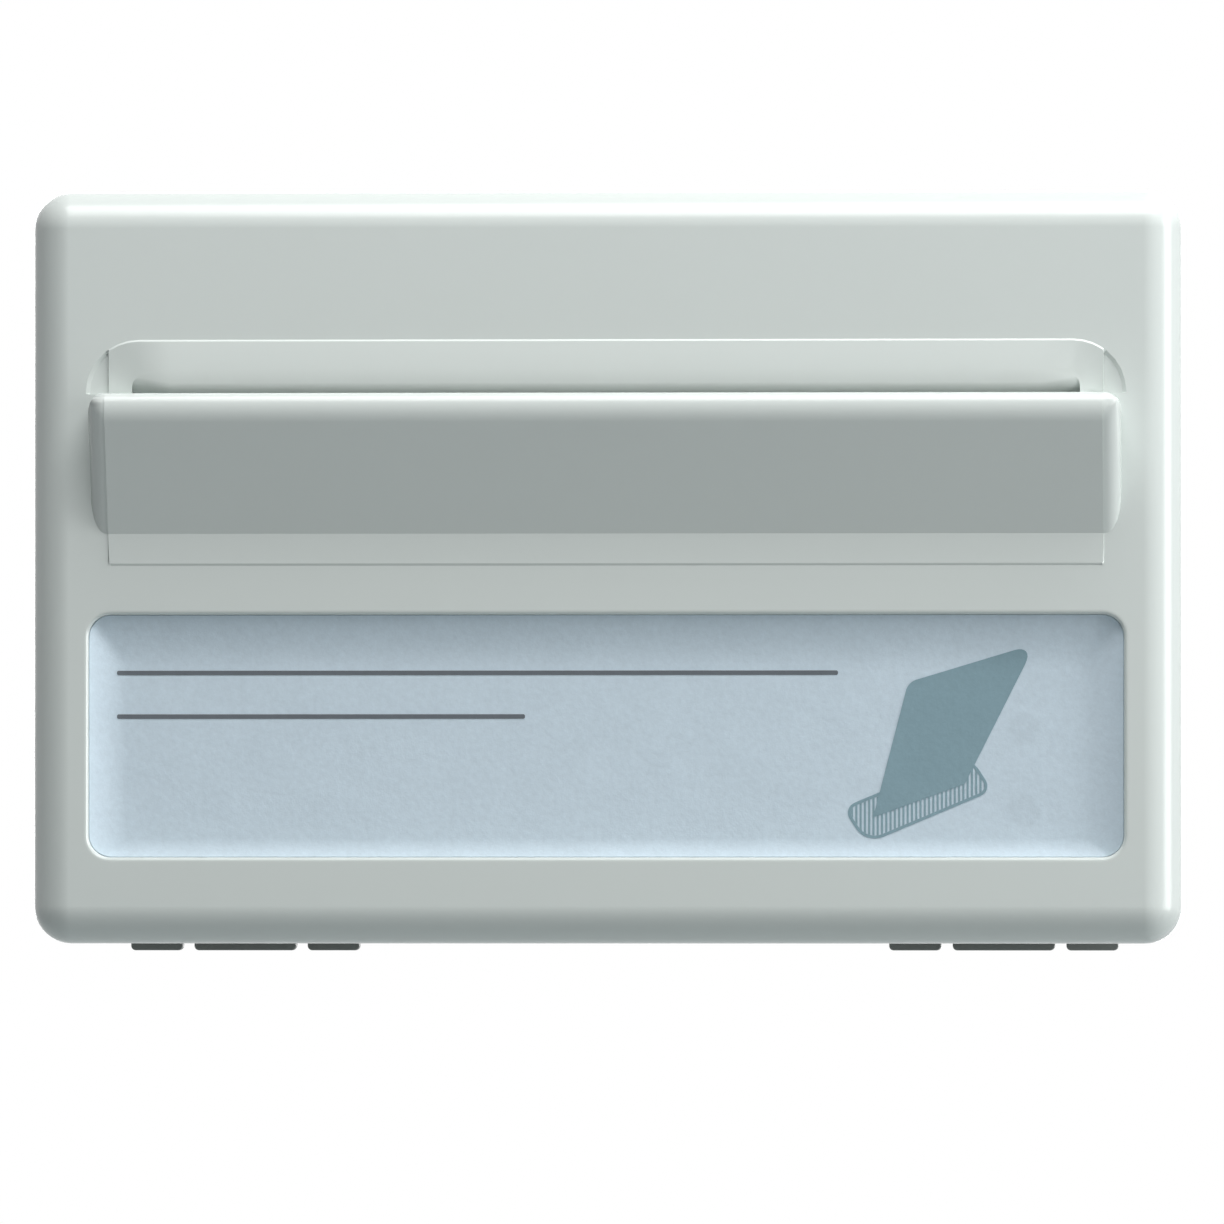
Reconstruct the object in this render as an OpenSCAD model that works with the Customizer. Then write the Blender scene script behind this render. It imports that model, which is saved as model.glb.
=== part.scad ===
// Key card switch for a three-module wall frame.
// X runs to the right, Z up, and the front faces -Y. The origin is the centre of the seat plane,
// where the rear rim of the cover rests on the wall frame.

/* [Front cover] */
// Width of one module of the wall frame
module_w = 22.4; // [22.2:0.1:23.4]
// Height of the cover
cover_h = 44; // [44:0.5:48]
// Depth of the cover from its front face to its rear rim
cover_d = 9; // [8.8:0.1:9.6]
// Radius of the front edges and corners
edge_r = 2.2; // [1.8:0.1:2.6]
// Thickness of the cover's side walls
cover_wall = 1.6; // [1.4:0.1:1.8]
// Thickness of the cover's front wall
front_t = 1.8; // [1.6:0.1:2]

/* [Card slot] */
// Width of the card
card_w = 54; // [53:0.1:54.6]
// Gap between the card and each side of the channel
card_side_gap = 0.7; // [0.4:0.1:0.9]
// Front to back gap of the card channel
channel_t = 1.8; // [1.6:0.1:2]
// Lean of the channel from upright, in degrees
card_tilt = 14.5; // [13.5:0.5:15.5]
// How far the card goes in below the height of the slot
card_depth = 28.5; // [27:0.5:29]
// Gap between the card guide's foot and the floor of the base
guide_floor_gap = 0.45; // [0.3:0.05:0.8]
// Depth of the channel's rear side behind the front face, at the height of the slot
slot_set = 1; // [0.8:0.1:1.1]
// Height of the scoop above the slot
scoop_h = 2.06; // [1.6:0.1:2.6]
// Depth of the scoop's floor around the slot
scoop_d = 0.15; // [0.1:0.05:0.3]
// Spread of the scoop past each end of the slot
scoop_spread = 2.6; // [2.4:0.1:2.8]
// Corner radius of the scoop's outline
scoop_r = 3; // [2:0.1:3]
// Width of the raised rim along the scoop's outline
rim_w = 0.12; // [0.1:0.02:0.2]
// Flat margin of the scoop's floor around the slot
slot_margin = 0.35; // [0.3:0.05:0.5]
// Radius of the slot's rounded upper edge
slot_edge_r = 1.1; // [1:0.05:1.2]
// Corner radius of the slot
slot_corner_r = 0.8; // [0.5:0.1:1]
// Drop from the height of the slot to the top of the lip
lip_drop = 1; // [0.8:0.1:1.2]
// Height of the lip's sloping face
lip_h = 8.17; // [7.5:0.1:8.8]
// How far the lip stands out of the front face
lip_out = 3.2; // [2.8:0.1:3.6]
// Radius of the lip's rounded top
lip_r = 0.8; // [0.7:0.1:0.9]
// Thickness of the closed end of the lip
lip_end = 2.4; // [2.2:0.1:2.6]
// Radius of the lip's lower corners
lip_corner_r = 0.9; // [0.5:0.1:1.2]
// Radius of the lip's end edges and upper corners
lip_end_r = 0.9; // [0.6:0.1:1]
// Height of the raised step around the slot
step_t = 0.06; // [0.04:0.01:0.1]
// Distance of the raised step from the lip's end
step_in = 1; // [0.7:0.1:1.3]
// Drop of the raised step below the lip
step_drop = 1.87; // [1.2:0.1:2.4]

/* [Label window] */
// Width of the label window
label_w = 60.5; // [58:0.5:61]
// Height of the label window
label_h = 14.15; // [12:0.1:15]
// Corner radius of the label window
label_r = 1.25; // [0.8:0.05:2]
// Drop of the window's centre below the cover's centre
label_drop = 9.88; // [9.6:0.1:10.2]
// Depth of the window's floor behind the front face
label_recess = 1.3; // [1.1:0.1:1.4]
// Thickness of the label
label_t = 0.3; // [0.2:0.05:0.4]
// Gap around the label
label_gap = 0.2; // [0.1:0.05:0.3]
// Thickness of the wall behind the label
backing_t = 1.2; // [1:0.1:1.3]
// Radius of the two light holes behind the label
light_r = 1; // [0.7:0.1:1.2]
// Distance of the light holes to the right of the centre
light_x = 24.4; // [23.6:0.2:24.6]
// Distance of the two light holes from each other
light_pitch = 4.8; // [4:0.2:5]

/* [Rear base] */
// Gap between the cover and the base
base_gap = 0.2; // [0.1:0.05:0.3]
// Depth of the base behind the seat plane
base_d = 22; // [21.5:0.5:26]
// Thickness of the base's side walls
base_wall = 1.5; // [1.3:0.1:1.7]
// Thickness of the base's rear wall
rear_t = 1.8; // [1.6:0.1:2.2]
// Length of the base that enters the cover
spigot_l = 3; // [2.8:0.1:3.2]
// Corner radius of the base
base_r = 1; // [0.8:0.1:1.4]
// Height of the snap bumps that hold the cover
snap_h = 0.45; // [0.4:0.05:0.6]
// Width of a snap bump
snap_w = 8; // [6:1:10]

/* [Frame clips] */
// Thickness of the wall frame that the clips grip
frame_t = 2.4; // [2:0.1:2.8]
// Width of a fixed clip lug
lug_w = 3.05; // [2.6:0.1:3.4]
// Width of the spring tongue between two lugs
tongue_w = 6; // [5:0.2:6.4]
// Gap between a lug and the tongue
lug_gap = 0.7; // [0.5:0.1:0.9]
// Length of a lug along the depth
lug_d = 3.2; // [2.8:0.1:3.6]
// Chamfer around the rear edge of the base
rear_chamfer = 1.2; // [0.8:0.1:1.5]
// How far the bottom lugs reach past the cover
lug_reach = 0.45; // [0.3:0.05:0.6]
// How far the top lugs stay inside the cover's outline
lug_top_in = 0.15; // [0.1:0.05:0.3]
// Offset of each clip group from its module's centre
clip_shift = 0.5; // [0:0.1:0.7]
// Length of the slits beside a tongue
tongue_l = 9.5; // [8:0.5:10]

/* [Lever] */
// Swing of the lever in degrees
lever_swing = 8; // [6:0.5:8]
// Radius of the hinge pin
pin_r = 1; // [0.8:0.1:1.1]
// Running clearance around the hinge pin
pin_gap = 0.05; // [0.03:0.01:0.08]
// Width of the lever
lever_w = 8; // [7:0.5:9]
// Thickness of the lever's arm
arm_t = 1.6; // [1.4:0.1:1.8]
// Thickness of the card guide's walls
guide_t = 1.2; // [1:0.1:1.3]
// Outer radius of the return spring
spring_r = 2; // [1.8:0.1:2.2]
// Thickness of the spring's wire
spring_wire = 0.45; // [0.4:0.05:0.5]
// Number of curls in the return spring
spring_turns = 5; // [4:1:6]
// Length of the return spring at rest
spring_l = 6.25; // [5.8:0.05:6.8]

/* [Switch] */
// Length of the switch
switch_l = 19.8; // [19.4:0.2:20.6]
// Depth of the switch from its front to its terminals
switch_d = 10.2; // [10:0.1:10.8]
// Thickness of the switch
switch_t = 6.4; // [6.2:0.1:6.8]
// Radius of the plunger
plunger_r = 1.2; // [1:0.1:1.4]
// How far the plunger stands out of the case
plunger_out = 2.2; // [2:0.1:2.4]
// Distance between the switch's two screw holes
switch_hole_pitch = 9.5; // [9.3:0.1:9.7]
// Thickness of the contact strips
strip_t = 0.6; // [0.5:0.1:0.7]
// Radius of the contact rivets
rivet_r = 1; // [0.8:0.1:1.1]

/* [Terminals] */
// Distance between the terminals
terminal_pitch = 12; // [11.6:0.1:12.4]
// Width of a terminal block
block_w = 7.6; // [7:0.2:8]
// Depth of a terminal block
block_d = 8; // [7.6:0.2:8.4]
// Height of a terminal block
block_h = 9; // [8.6:0.2:9.4]
// Radius of the wire bore
wire_r = 1.75; // [1.5:0.05:1.9]
// Radius of the clamp screw
clamp_r = 1.5; // [1.3:0.1:1.6]
// Radius of the clamp screw's head
clamp_head_r = 2.5; // [2.3:0.1:2.6]
// Thickness of the brass bars
bar_t = 0.8; // [0.6:0.1:1]
// Width of the brass bars
bar_w = 4; // [3.6:0.2:4.2]

/* [Lamp] */
// Radius of the lamp's glass
lamp_r = 2.3; // [2:0.1:2.4]
// Length of the lamp's glass
lamp_l = 10.5; // [9.5:0.5:11]
// Thickness of the lamp's glass
glass_t = 0.4; // [0.3:0.05:0.5]
// Radius of the lamp's wires
lead_r = 0.25; // [0.2:0.05:0.3]
// Radius of the series resistor
resistor_r = 1.2; // [1:0.1:1.4]
// Length of the series resistor
resistor_l = 6; // [5:0.5:7]

/* [Hidden] */

$fn = 48;
eps = 0.01;
hull_fn = 28;
arc_steps = 8;

// Cover, in the seat frame: it fills as many modules as the card and the walls beside it need
channel_w = card_w + 2 * card_side_gap;
channel_x = channel_w / 2;
rail_t = 1.6;
rail_gap = 0.1;
modules = ceil((channel_w + 2 * (rail_t + rail_gap + base_wall + base_gap + cover_wall)) / module_w);
cover_w = modules * module_w;
face_y = -cover_d;
inner_y = face_y + front_t;
cavity_x = cover_w / 2 - cover_wall;
cavity_z = cover_h / 2 - cover_wall;

// Base
base_x = cavity_x - base_gap;
base_z = cavity_z - base_gap;
hollow_x = base_x - base_wall;
hollow_z = base_z - base_wall;
rear_y_in = base_d - rear_t;
stop_t = 1.5;
stop_h = 20;
stop_in = 0.2;
stop_out = cover_wall - stop_in;
snap_x = 10;
snap_y = [-2.3, -0.9];
snap_ramp = 0.4;
snap_gap = 0.1;
clip_x = [-module_w + clip_shift, module_w + clip_shift];
lug_x = tongue_w / 2 + lug_gap + lug_w / 2;
lug_flat = 0.35 * lug_d;
tongue_ramp = 1.4;

// Channel: its local frame sits at the height of the slot, with its rear wall on the local y = 0 plane.
// The guide's foot stands just above the base's floor, so the depth of the card sets the slot's height.
guide_foot = 0.6;
guide_low = guide_floor_gap - hollow_z;
slot_z = guide_low + guide_foot + (card_depth + guide_t) * cos(card_tilt);
slot_y = face_y + slot_set;
lip_top = slot_z - lip_drop;
lip_bottom = lip_top - lip_h;
lip_x = channel_x + lip_end;
step_x = lip_x - step_in;
step_bottom = lip_bottom - step_drop;
channel_run = channel_t / cos(card_tilt);
function rear_y(z) = slot_y + (slot_z - z) * tan(card_tilt);
function front_y(z) = rear_y(z) - channel_run;
function at_z(y) = slot_z - (y - slot_y) / tan(card_tilt);
// A point of the channel's frame in the seat frame, as [y, z]
function seat(y, z) = [
    slot_y + y * cos(card_tilt) - z * sin(card_tilt),
    slot_z + y * sin(card_tilt) + z * cos(card_tilt)
];

// Lip
lip_y = face_y - lip_out;
lip_wall = 2 * lip_r;
lip_c = [lip_y + lip_r, lip_top - lip_r];
lip_foot = [face_y, lip_bottom];
// The sloping face leaves the foot and touches the rounded top
lip_slope = atan2(lip_foot[0] - lip_c[0], lip_c[1] - lip_foot[1]) + asin(lip_r / norm(lip_c - lip_foot));
funnel_h = 5;
funnel_z = slot_z - funnel_h;

// Scoop, and the rounded edge over which its floor runs into the slot
scoop_x = channel_x + scoop_spread;
scoop_top = slot_z + scoop_h;
edge_y = face_y + scoop_d;
edge_z = lip_top + slot_edge_r;
margin_x = channel_x + slot_margin;
margin_top = edge_z + slot_margin;
margin_r = slot_corner_r + slot_margin;
mouth_lead = 0.1;

// Label
label_floor = face_y + label_recess;
backing_y = label_floor + backing_t;
backing_edge = 0.9;
label_z = -label_drop;
light_down = 2;
light_z = [for (side = [1, -1]) label_z - light_down + side * light_pitch / 2];

// Card guide
wall_gap = 0.1;
flange_t = 1;
flange_w = 2;
guide_front = backing_y;
guide_back = 2;
guide_top_gap = 0.4;
guide_top = lip_top - guide_top_gap;
flange_top = -((backing_y + wall_gap - slot_y + (channel_t + flange_t) * cos(card_tilt)) / sin(card_tilt));
plate_top = -1.4;
tongue_gap = 0.15;
tongue_top = -(front_t - slot_set + tongue_gap) / sin(card_tilt);
tongue_x = channel_x - tongue_gap;
post_w = hollow_x - channel_x + wall_gap;
post_h = 9;
rail_back = 3;
light_clear = 0.5;

// Lever, in the channel's frame up to its pivot
hub_r = 2;
hub_gap = 0.2;
pivot_l = [guide_t + hub_gap + hub_r, -8.5];
pivot = seat(pivot_l[0], pivot_l[1]);
ear_t = 1.4;
ear_gap = 0.4;
ear_x = lever_w / 2 + ear_gap;
ear_r = 2.2;
ear_foot = 1.9;
sink = 0.2;
arm_gap = 1;
arm_y = guide_t + arm_gap;
arm_end = -25.6;
nose_w = lever_w - 1;
nose_out = 0.7;
nose_y = -channel_t - nose_out;
nose_z = [-14.6, -19, -20, -22.6];
window_gap = 0.9;
window_z = [nose_z[3] - window_gap, nose_z[0] + window_gap];
function arm_rear(z) = rear_y(z) + (arm_y + arm_t) / cos(card_tilt);
press_arm = 8;
press_z = pivot[1] - press_arm;
pad_out = 1;
pad_t = 1.6;
pad_y = arm_rear(press_z) + pad_out;
pad_h = 2;
press_gap = 0.15;
travel = press_arm * lever_swing * PI / 180;

// Spring
spring_arm = 15.3;
spring_z = pivot[1] - spring_arm;
seat_out = 0.8;
spring_seat = arm_rear(spring_z) + seat_out;
spring_gap = 0.15;
spring_y = [spring_seat + spring_gap, spring_seat + spring_gap + spring_l];
pilot_gap = 0.25;
pilot_r = spring_r - spring_wire - pilot_gap;
pilot_l = 1.2;
seat_edge = 0.3;
bracket_edge = 0.4;
bracket_top = -22.2;
post_edge = 0.2;

// Switch: its plunger is on x = 0
tip_y = pad_y + press_gap;
case_y = [tip_y + plunger_out, tip_y + plunger_out + switch_d];
case_right = 7;
case_x = [case_right - switch_l, case_right];
case_z = [press_z - switch_t / 2, press_z + switch_t / 2];
case_wall = 1.2;
case_floor = 1.1;
lid_t = 1;
plunger_gap = 0.08;
collar_r = 1.9;
stem_r = 0.6;
blade_t = 0.3;
blade_w = 2.2;
blade_in = 3.5;
blade_y = case_y[0] + blade_in;
blade_pivot_x = -9.5;
blade_tail = 0.4;
bead_r = 0.25;
anvil_t = 1.05;
anvil_gap = 0.15;
blade_ratio = press_arm / -blade_pivot_x;
button_t = 0.7;
back_button_t = 0.45;
contact_gap = 0.15;
rivet_t = 0.5;
tab_w = 3.2;
tab_out = 4;
tab_gap = 0.05;
tab_in = 2.1;
open_tab_x = -1.8;
tab_x = [case_x[0] + tab_in, open_tab_x, case_x[1] - case_wall - strip_t - tab_gap];
blade_tip_gap = 0.3;
blade_tip_x = tab_x[2] - blade_tip_gap;
contact_in = 0.5;
contact_x = tab_x[2] - contact_in - rivet_r;
rivet_gap = 0.03;
throw = (contact_x - blade_pivot_x) * travel / -blade_pivot_x;
closed_y = blade_y - button_t - contact_gap;
open_y = blade_y + blade_t + back_button_t + throw + contact_gap + rivet_r * tan(lever_swing);
screw_mid_x = (case_x[0] + case_x[1]) / 2;
screw_x = [screw_mid_x - switch_hole_pitch / 2, screw_mid_x + switch_hole_pitch / 2];
screw_r = 0.9;
screw_gap = 0.05;
boss_t = 0.5;
boss_r = screw_r + boss_t;
screw_y = case_y[1] - boss_r;
screw_head_r = 1.8;
screw_head_t = 1.2;
screw_slot_w = 0.5;
screw_slot_d = 0.6;
screw_short = 0.1;
collar_gap = 0.2;
collar_t = 0.8;
shelf_t = 1.5;
shelf_front = case_y[0] + 1.8;
shelf_side = 0.7;

// Terminals
terminal_x = [for (i = [0:3]) (i - 1.5) * terminal_pitch];
head_t = 2;
head_gap = 0.2;
head_rise = 1;
head_z = hollow_z - head_t - head_gap;
head_slot_w = 0.7;
head_slot_d = 0.9;
block_y = rear_y_in - block_d;
block_z = head_z - head_rise - block_h;
wire_up = 3;
wire_z = block_z + wire_up;
clamp_y = block_y + block_d / 2;
clamp_lift = 0.3;
clamp_tip = wire_z + wire_r + clamp_lift;
clamp_gap = 0.05;
access_gap = 0.3;
access_r = clamp_head_r + access_gap;
flare = 1;
funnel_r = wire_r + flare;
entry_gap = 0.3;
entry_r = wire_r + entry_gap;
rib_gap = 0.1;
bar_back = 2.2;
bar_y = case_y[1] + bar_back;
bar_tail = 0.8;
bar_low = press_z - tab_w / 2 - bar_tail;
knee_drop = 1.9;
bar_knee = block_z - bar_w - knee_drop;
ledge_gap = 1.05;
ledge_d = rear_y_in - bar_y - bar_t - ledge_gap;
ledge_t = 1.4;

// Lamp, in the channel's frame: it stands just above the card stop
lamp_gap = 0.3;
lamp_y = guide_t + lamp_gap + lamp_r;
lamp_floor = 0.4;
lamp_low = lamp_floor - card_depth;
lamp_top = lamp_low + lamp_l;
saddle_t = 1.2;
saddle_in = [2.2, 1.4];
saddle_z = [lamp_top - saddle_in[0], lamp_low + saddle_in[1]];
saddle_gap = 0.05;
saddle_edge = 0.9;
saddle_out = 0.8;
lead_x = 0.8;
lead_in = 0.8;
lead_gap = 0.02;
lead_up = 2.5;
seal_t = 1.6;
lead_bend = seat(lamp_y, lamp_top + lead_up);
lead_lift = 1;
resistor_y = 12;
resistor_drop = 6.5;
resistor_z = block_z - resistor_drop;
resistor_in = 2;
resistor_x = light_x - resistor_in;
lead_step = 1;
lead_run = 3;
joint_x = 5;
joint_y = 4;
bar_land = 0.5;

// Points of a round stretch from one angle to another
function arc(c, r, from, to) = [
    for (i = [0:arc_steps])
        let (angle = from + (to - from) * i / arc_steps)
            c + r * [cos(angle), sin(angle)]
];
function round_rect(w, h, r) = concat(
    arc([w / 2 - r, h / 2 - r], r, 0, 90), arc([r - w / 2, h / 2 - r], r, 90, 180),
    arc([r - w / 2, r - h / 2], r, 180, 270), arc([w / 2 - r, r - h / 2], r, 270, 360)
);

// Extrudes a [y, z] outline along x, centred
module along_x(w) {
    rotate([90, 0, 90])
        linear_extrude(w, center = true)
            children();
}

// Extrudes an [x, z] outline from y_back to y_front, towards the front
module towards_front(y_back, y_front) {
    translate([0, y_back, 0])
        rotate([90, 0, 0])
            linear_extrude(y_back - y_front)
                children();
}

module along_y(x, y, z) {
    translate([x, y, z])
        rotate([-90, 0, 0])
            children();
}

module in_channel() {
    translate([0, slot_y, slot_z])
        rotate([card_tilt, 0, 0])
            children();
}

// A box given by its low and high corners
module span(low, high) {
    translate(low)
        cube(high - low);
}

// A tube of few sides along a path of points
function unit(v) = v / norm(v);
function path_dir(p, i) = unit(p[min(i + 1, len(p) - 1)] - p[max(i - 1, 0)]);
function side_dir(d, up) = unit(cross(d, up));
function ring(c, d, r, sides, up) = let (a = side_dir(d, up), b = cross(d, a)) [
    for (k = [0:sides - 1]) c + r * (cos(360 * k / sides) * a + sin(360 * k / sides) * b)
];
module tube(path, r, sides = 6, up = [0.3, 0.5, 0.81]) {
    n = len(path);
    points = [for (i = [0:n - 1]) each ring(path[i], path_dir(path, i), r, sides, up)];
    walls = [
        for (i = [0:n - 2], k = [0:sides - 1])
            let (a = i * sides + k, b = i * sides + (k + 1) % sides)
                each [[a, b, b + sides], [a, b + sides, a + sides]]
    ];
    low_cap = [for (k = [1:sides - 2]) [0, k + 1, k]];
    high_cap = [for (k = [1:sides - 2]) (n - 1) * sides * [1, 1, 1] + [0, k, k + 1]];
    polyhedron(points, [for (f = concat(low_cap, walls, high_cap)) [f[2], f[1], f[0]]]);
}

// Outline of the cover's wall and rounded front edge
module edge_profile(r, d) {
    square([r, d - r]);
    intersection() {
        translate([0, d - r])
            circle(r);
        translate([0, d - r])
            square([r, r]);
    }
}

// Solid block with a rounded front, from the seat plane to the front face
module cover_block() {
    mid_x = cover_w / 2 - edge_r;
    mid_z = cover_h / 2 - edge_r;
    rotate([90, 0, 0]) {
        translate([-mid_x, -mid_z, 0])
            cube([2 * mid_x, 2 * mid_z, cover_d]);
        for (turn = [0, 180])
            rotate(turn) {
                translate([mid_x, 0, 0])
                    rotate([90, 0, 0])
                        linear_extrude(2 * mid_z, center = true)
                            edge_profile(edge_r, cover_d);
                translate([0, mid_z, 0])
                    rotate([90, 0, 90])
                        linear_extrude(2 * mid_x, center = true)
                            edge_profile(edge_r, cover_d);
                translate([mid_x, mid_z, 0])
                    rotate_extrude(angle = 90)
                        edge_profile(edge_r, cover_d);
                translate([-mid_x, mid_z, 0])
                    rotate(90)
                        rotate_extrude(angle = 90)
                            edge_profile(edge_r, cover_d);
            }
    }
}

// Shallow dish around the slot, from its outline down to a flat floor, moved forward by out
module dish(out) {
    floor_d = cover_d - scoop_d - step_t + out;
    rotate([90, 0, 0])
        hull() {
            for (side = [-1, 1]) {
                translate([side * (scoop_x - scoop_r), scoop_top - scoop_r, cover_d + out])
                    cylinder(h = eps, r = scoop_r, $fn = hull_fn);
                translate([side * (margin_x - margin_r), margin_top - margin_r, floor_d])
                    cylinder(h = eps, r = margin_r, $fn = hull_fn);
            }
            translate([-scoop_x, lip_top - 1, cover_d + out])
                cube([2 * scoop_x, eps, eps]);
            translate([-margin_x, lip_top - 1, floor_d])
                cube([2 * margin_x, eps, eps]);
        }
}

// The scoop as moulded: the raised step crosses it, so its middle is a little shallower than its ends
module scoop() {
    middle_low = [-step_x, face_y - 1, lip_top];
    middle_high = [step_x, 0, scoop_top + 1];
    intersection() {
        dish(step_t);
        span(middle_low, middle_high);
    }
    intersection() {
        difference() {
            dish(0);
            span(middle_low - [0, 0, 2], middle_high);
        }
        span([-cover_w / 2, face_y - 1, lip_top], [cover_w / 2, 0, scoop_top + 1]);
    }
}

// The raised step's upper end, a fine rim that follows the scoop's outline
module rim() {
    intersection() {
        towards_front(face_y + eps, face_y - step_t)
            polygon(concat(
                round_top(scoop_x + rim_w, scoop_top + rim_w, scoop_r + rim_w),
                square_foot(scoop_x + rim_w, lip_top - 1)
            ));
        span([-step_x, face_y - 1, slot_z], [step_x, 0, scoop_top + 1]);
    }
}

// Side view of the lip, its sloping face moved forward by out
function lip_side(out) = concat(
    [[face_y + eps, lip_bottom - (out > 0 ? step_drop : 0)]],
    out > 0 ? [[face_y - out, step_bottom], [face_y - out, lip_bottom]] : [[face_y, lip_bottom]],
    arc(lip_c - [out, 0], lip_r, 180 + lip_slope, 90),
    [[face_y + eps, lip_top]]
);

// Outline of half the width each side of x = 0, with a square or rounded foot and a square or rounded top
function square_foot(half, low) = [[-half, low], [half, low]];
function round_foot(half, low, r) = concat(
    arc([r - half, low + r], r, 180, 270), arc([half - r, low + r], r, 270, 360)
);
function square_top(half, top) = [[half, top], [-half, top]];
function round_top(half, top, r) = concat(
    arc([half - r, top - r], r, 0, 90), arc([r - half, top - r], r, 90, 180)
);

// The lip proper, rounded at its four corners and along its end edges
module lip() {
    intersection() {
        along_x(2 * lip_x)
            polygon(lip_side(0));
        towards_front(face_y + 1, lip_y - 1)
            polygon(concat(
                round_top(lip_x, lip_top + eps, lip_end_r), round_foot(lip_x, lip_bottom, lip_corner_r)
            ));
        translate([0, face_y, lip_bottom])
            rotate([lip_slope, 0, 0])
                linear_extrude(3 * lip_h, center = true)
                    polygon(concat(square_top(lip_x, lip_h), round_foot(lip_x, 0, lip_end_r)));
    }
}

// The raised step across the lip and the face under it
module step() {
    intersection() {
        along_x(2 * step_x)
            polygon(lip_side(step_t));
        towards_front(face_y + 1, lip_y - 1)
            polygon(concat(
                square_top(step_x, lip_top + 1), round_foot(step_x, step_bottom, lip_corner_r / 4)
            ));
    }
}

// The way of the card through the lip and the front wall, under the scoop's rounded edge
module slot_cut() {
    mouth_y = lip_y + lip_wall;
    intersection() {
        along_x(cover_w)
            polygon(concat(
                [[edge_y - mouth_lead, edge_z]],
                arc([edge_y + slot_edge_r, edge_z], slot_edge_r, 180, 270),
                [
                    [inner_y + eps, lip_top],
                    [inner_y + eps, at_z(inner_y + channel_run)],
                    [front_y(funnel_z), funnel_z],
                    [mouth_y, lip_top - lip_r],
                    [mouth_y - lip_r, lip_top + eps],
                    [edge_y - mouth_lead, lip_top + eps]
                ]
            ));
        towards_front(inner_y + 1, lip_y - 1)
            polygon(concat(
                round_top(channel_x, edge_z + slot_margin / 2, slot_corner_r),
                square_foot(channel_x, -cover_h / 2)
            ));
    }
}

module light_holes(y_back, y_front, r) {
    for (z = light_z)
        along_y(light_x, y_front, z)
            cylinder(h = y_back - y_front, r = r);
}

module front_cover() {
    color("whitesmoke")
        difference() {
            union() {
                difference() {
                    union() {
                        cover_block();
                        rim();
                    }
                    span([-cavity_x, inner_y, -cavity_z], [cavity_x, eps, cavity_z]);
                    scoop();
                }
                lip();
                step();
                span(
                    [-label_w / 2 - backing_edge, inner_y - eps, label_z - label_h / 2 - backing_edge],
                    [label_w / 2 + backing_edge, backing_y, label_z + label_h / 2 + backing_edge / 2]
                );
            }
            slot_cut();
            translate([0, 0, label_z])
                towards_front(label_floor, face_y - 1)
                    polygon(round_rect(label_w, label_h, label_r));
            light_holes(backing_y + 1, label_floor - 1, light_r);
            for (side = [-1, 1], x = [-snap_x, snap_x])
                span(
                    [x - snap_w / 2 - snap_gap, snap_y[0] - snap_gap, min(0, side * (cavity_z + snap_h))],
                    [x + snap_w / 2 + snap_gap, snap_y[1] + snap_gap, max(0, side * (cavity_z + snap_h))]
                );
        }
}

module label_card() {
    color("lightsteelblue")
        translate([0, 0, label_z])
            towards_front(label_floor, label_floor - label_t)
                polygon(round_rect(label_w - 2 * label_gap, label_h - 2 * label_gap, label_r));
}

// Side view of a clip: a square face behind the frame, then a ramp down to the base
module clip_tooth(w, reach, depth) {
    along_x(w)
        polygon([
            [frame_t, base_z - eps],
            [frame_t, reach],
            [frame_t + lug_flat, reach],
            [frame_t + depth, base_z - eps]
        ]);
}

module clip_group(reach) {
    for (side = [-1, 1])
        translate([side * lug_x, 0, 0])
            clip_tooth(lug_w, reach, lug_d);
    clip_tooth(tongue_w, reach, lug_d + tongue_ramp);
}

// Slits that free the tongue on two sides and at its front
module tongue_slits() {
    start = frame_t - lug_gap;
    for (side = [-1, 1])
        span(
            [side * (tongue_w + lug_gap) / 2 - lug_gap / 2, start, hollow_z - eps],
            [side * (tongue_w + lug_gap) / 2 + lug_gap / 2, start + tongue_l, base_z + eps]
        );
    span([-tongue_w / 2, start, hollow_z - eps], [tongue_w / 2, frame_t, base_z + eps]);
}

// Outline of the base's depth by half its width or height, with the chamfer at the rear
function depth_side(half) = [
    [-spigot_l, half], [base_d - rear_chamfer, half], [base_d, half - rear_chamfer],
    [base_d, rear_chamfer - half], [base_d - rear_chamfer, -half], [-spigot_l, -half]
];

module base_shell() {
    difference() {
        intersection() {
            towards_front(base_d, -spigot_l)
                polygon(round_rect(2 * base_x, 2 * base_z, base_r));
            along_x(2 * base_x)
                polygon(depth_side(base_z));
            rotate([0, -90, 0])
                along_x(2 * base_z)
                    polygon(depth_side(base_x));
        }
        span([-hollow_x, -spigot_l - eps, -hollow_z], [hollow_x, rear_y_in, hollow_z]);
        for (x = clip_x, turn = [0, 1])
            mirror([0, 0, turn])
                translate([x, 0, 0])
                    tongue_slits();
    }
}

module snap_bumps() {
    for (turn = [0, 1], x = [-snap_x, snap_x])
        mirror([0, 0, turn])
            translate([x, 0, 0])
                along_x(snap_w)
                    polygon([
                        [snap_y[0], base_z - eps],
                        [snap_y[1] - snap_ramp, base_z + snap_h],
                        [snap_y[1], base_z + snap_h],
                        [snap_y[1], base_z - eps]
                    ]);
}

// Walls between the terminals, and the ledge that carries them
module terminal_ribs() {
    rib_w = terminal_pitch - block_w - 2 * rib_gap;
    for (i = [0:4])
        span(
            [(i - 2) * terminal_pitch - rib_w / 2, block_y, block_z - ledge_t],
            [(i - 2) * terminal_pitch + rib_w / 2, rear_y_in + eps, hollow_z + eps]
        );
    span(
        [-2 * terminal_pitch, rear_y_in - ledge_d, block_z - ledge_t],
        [2 * terminal_pitch, rear_y_in + eps, block_z]
    );
}

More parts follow.
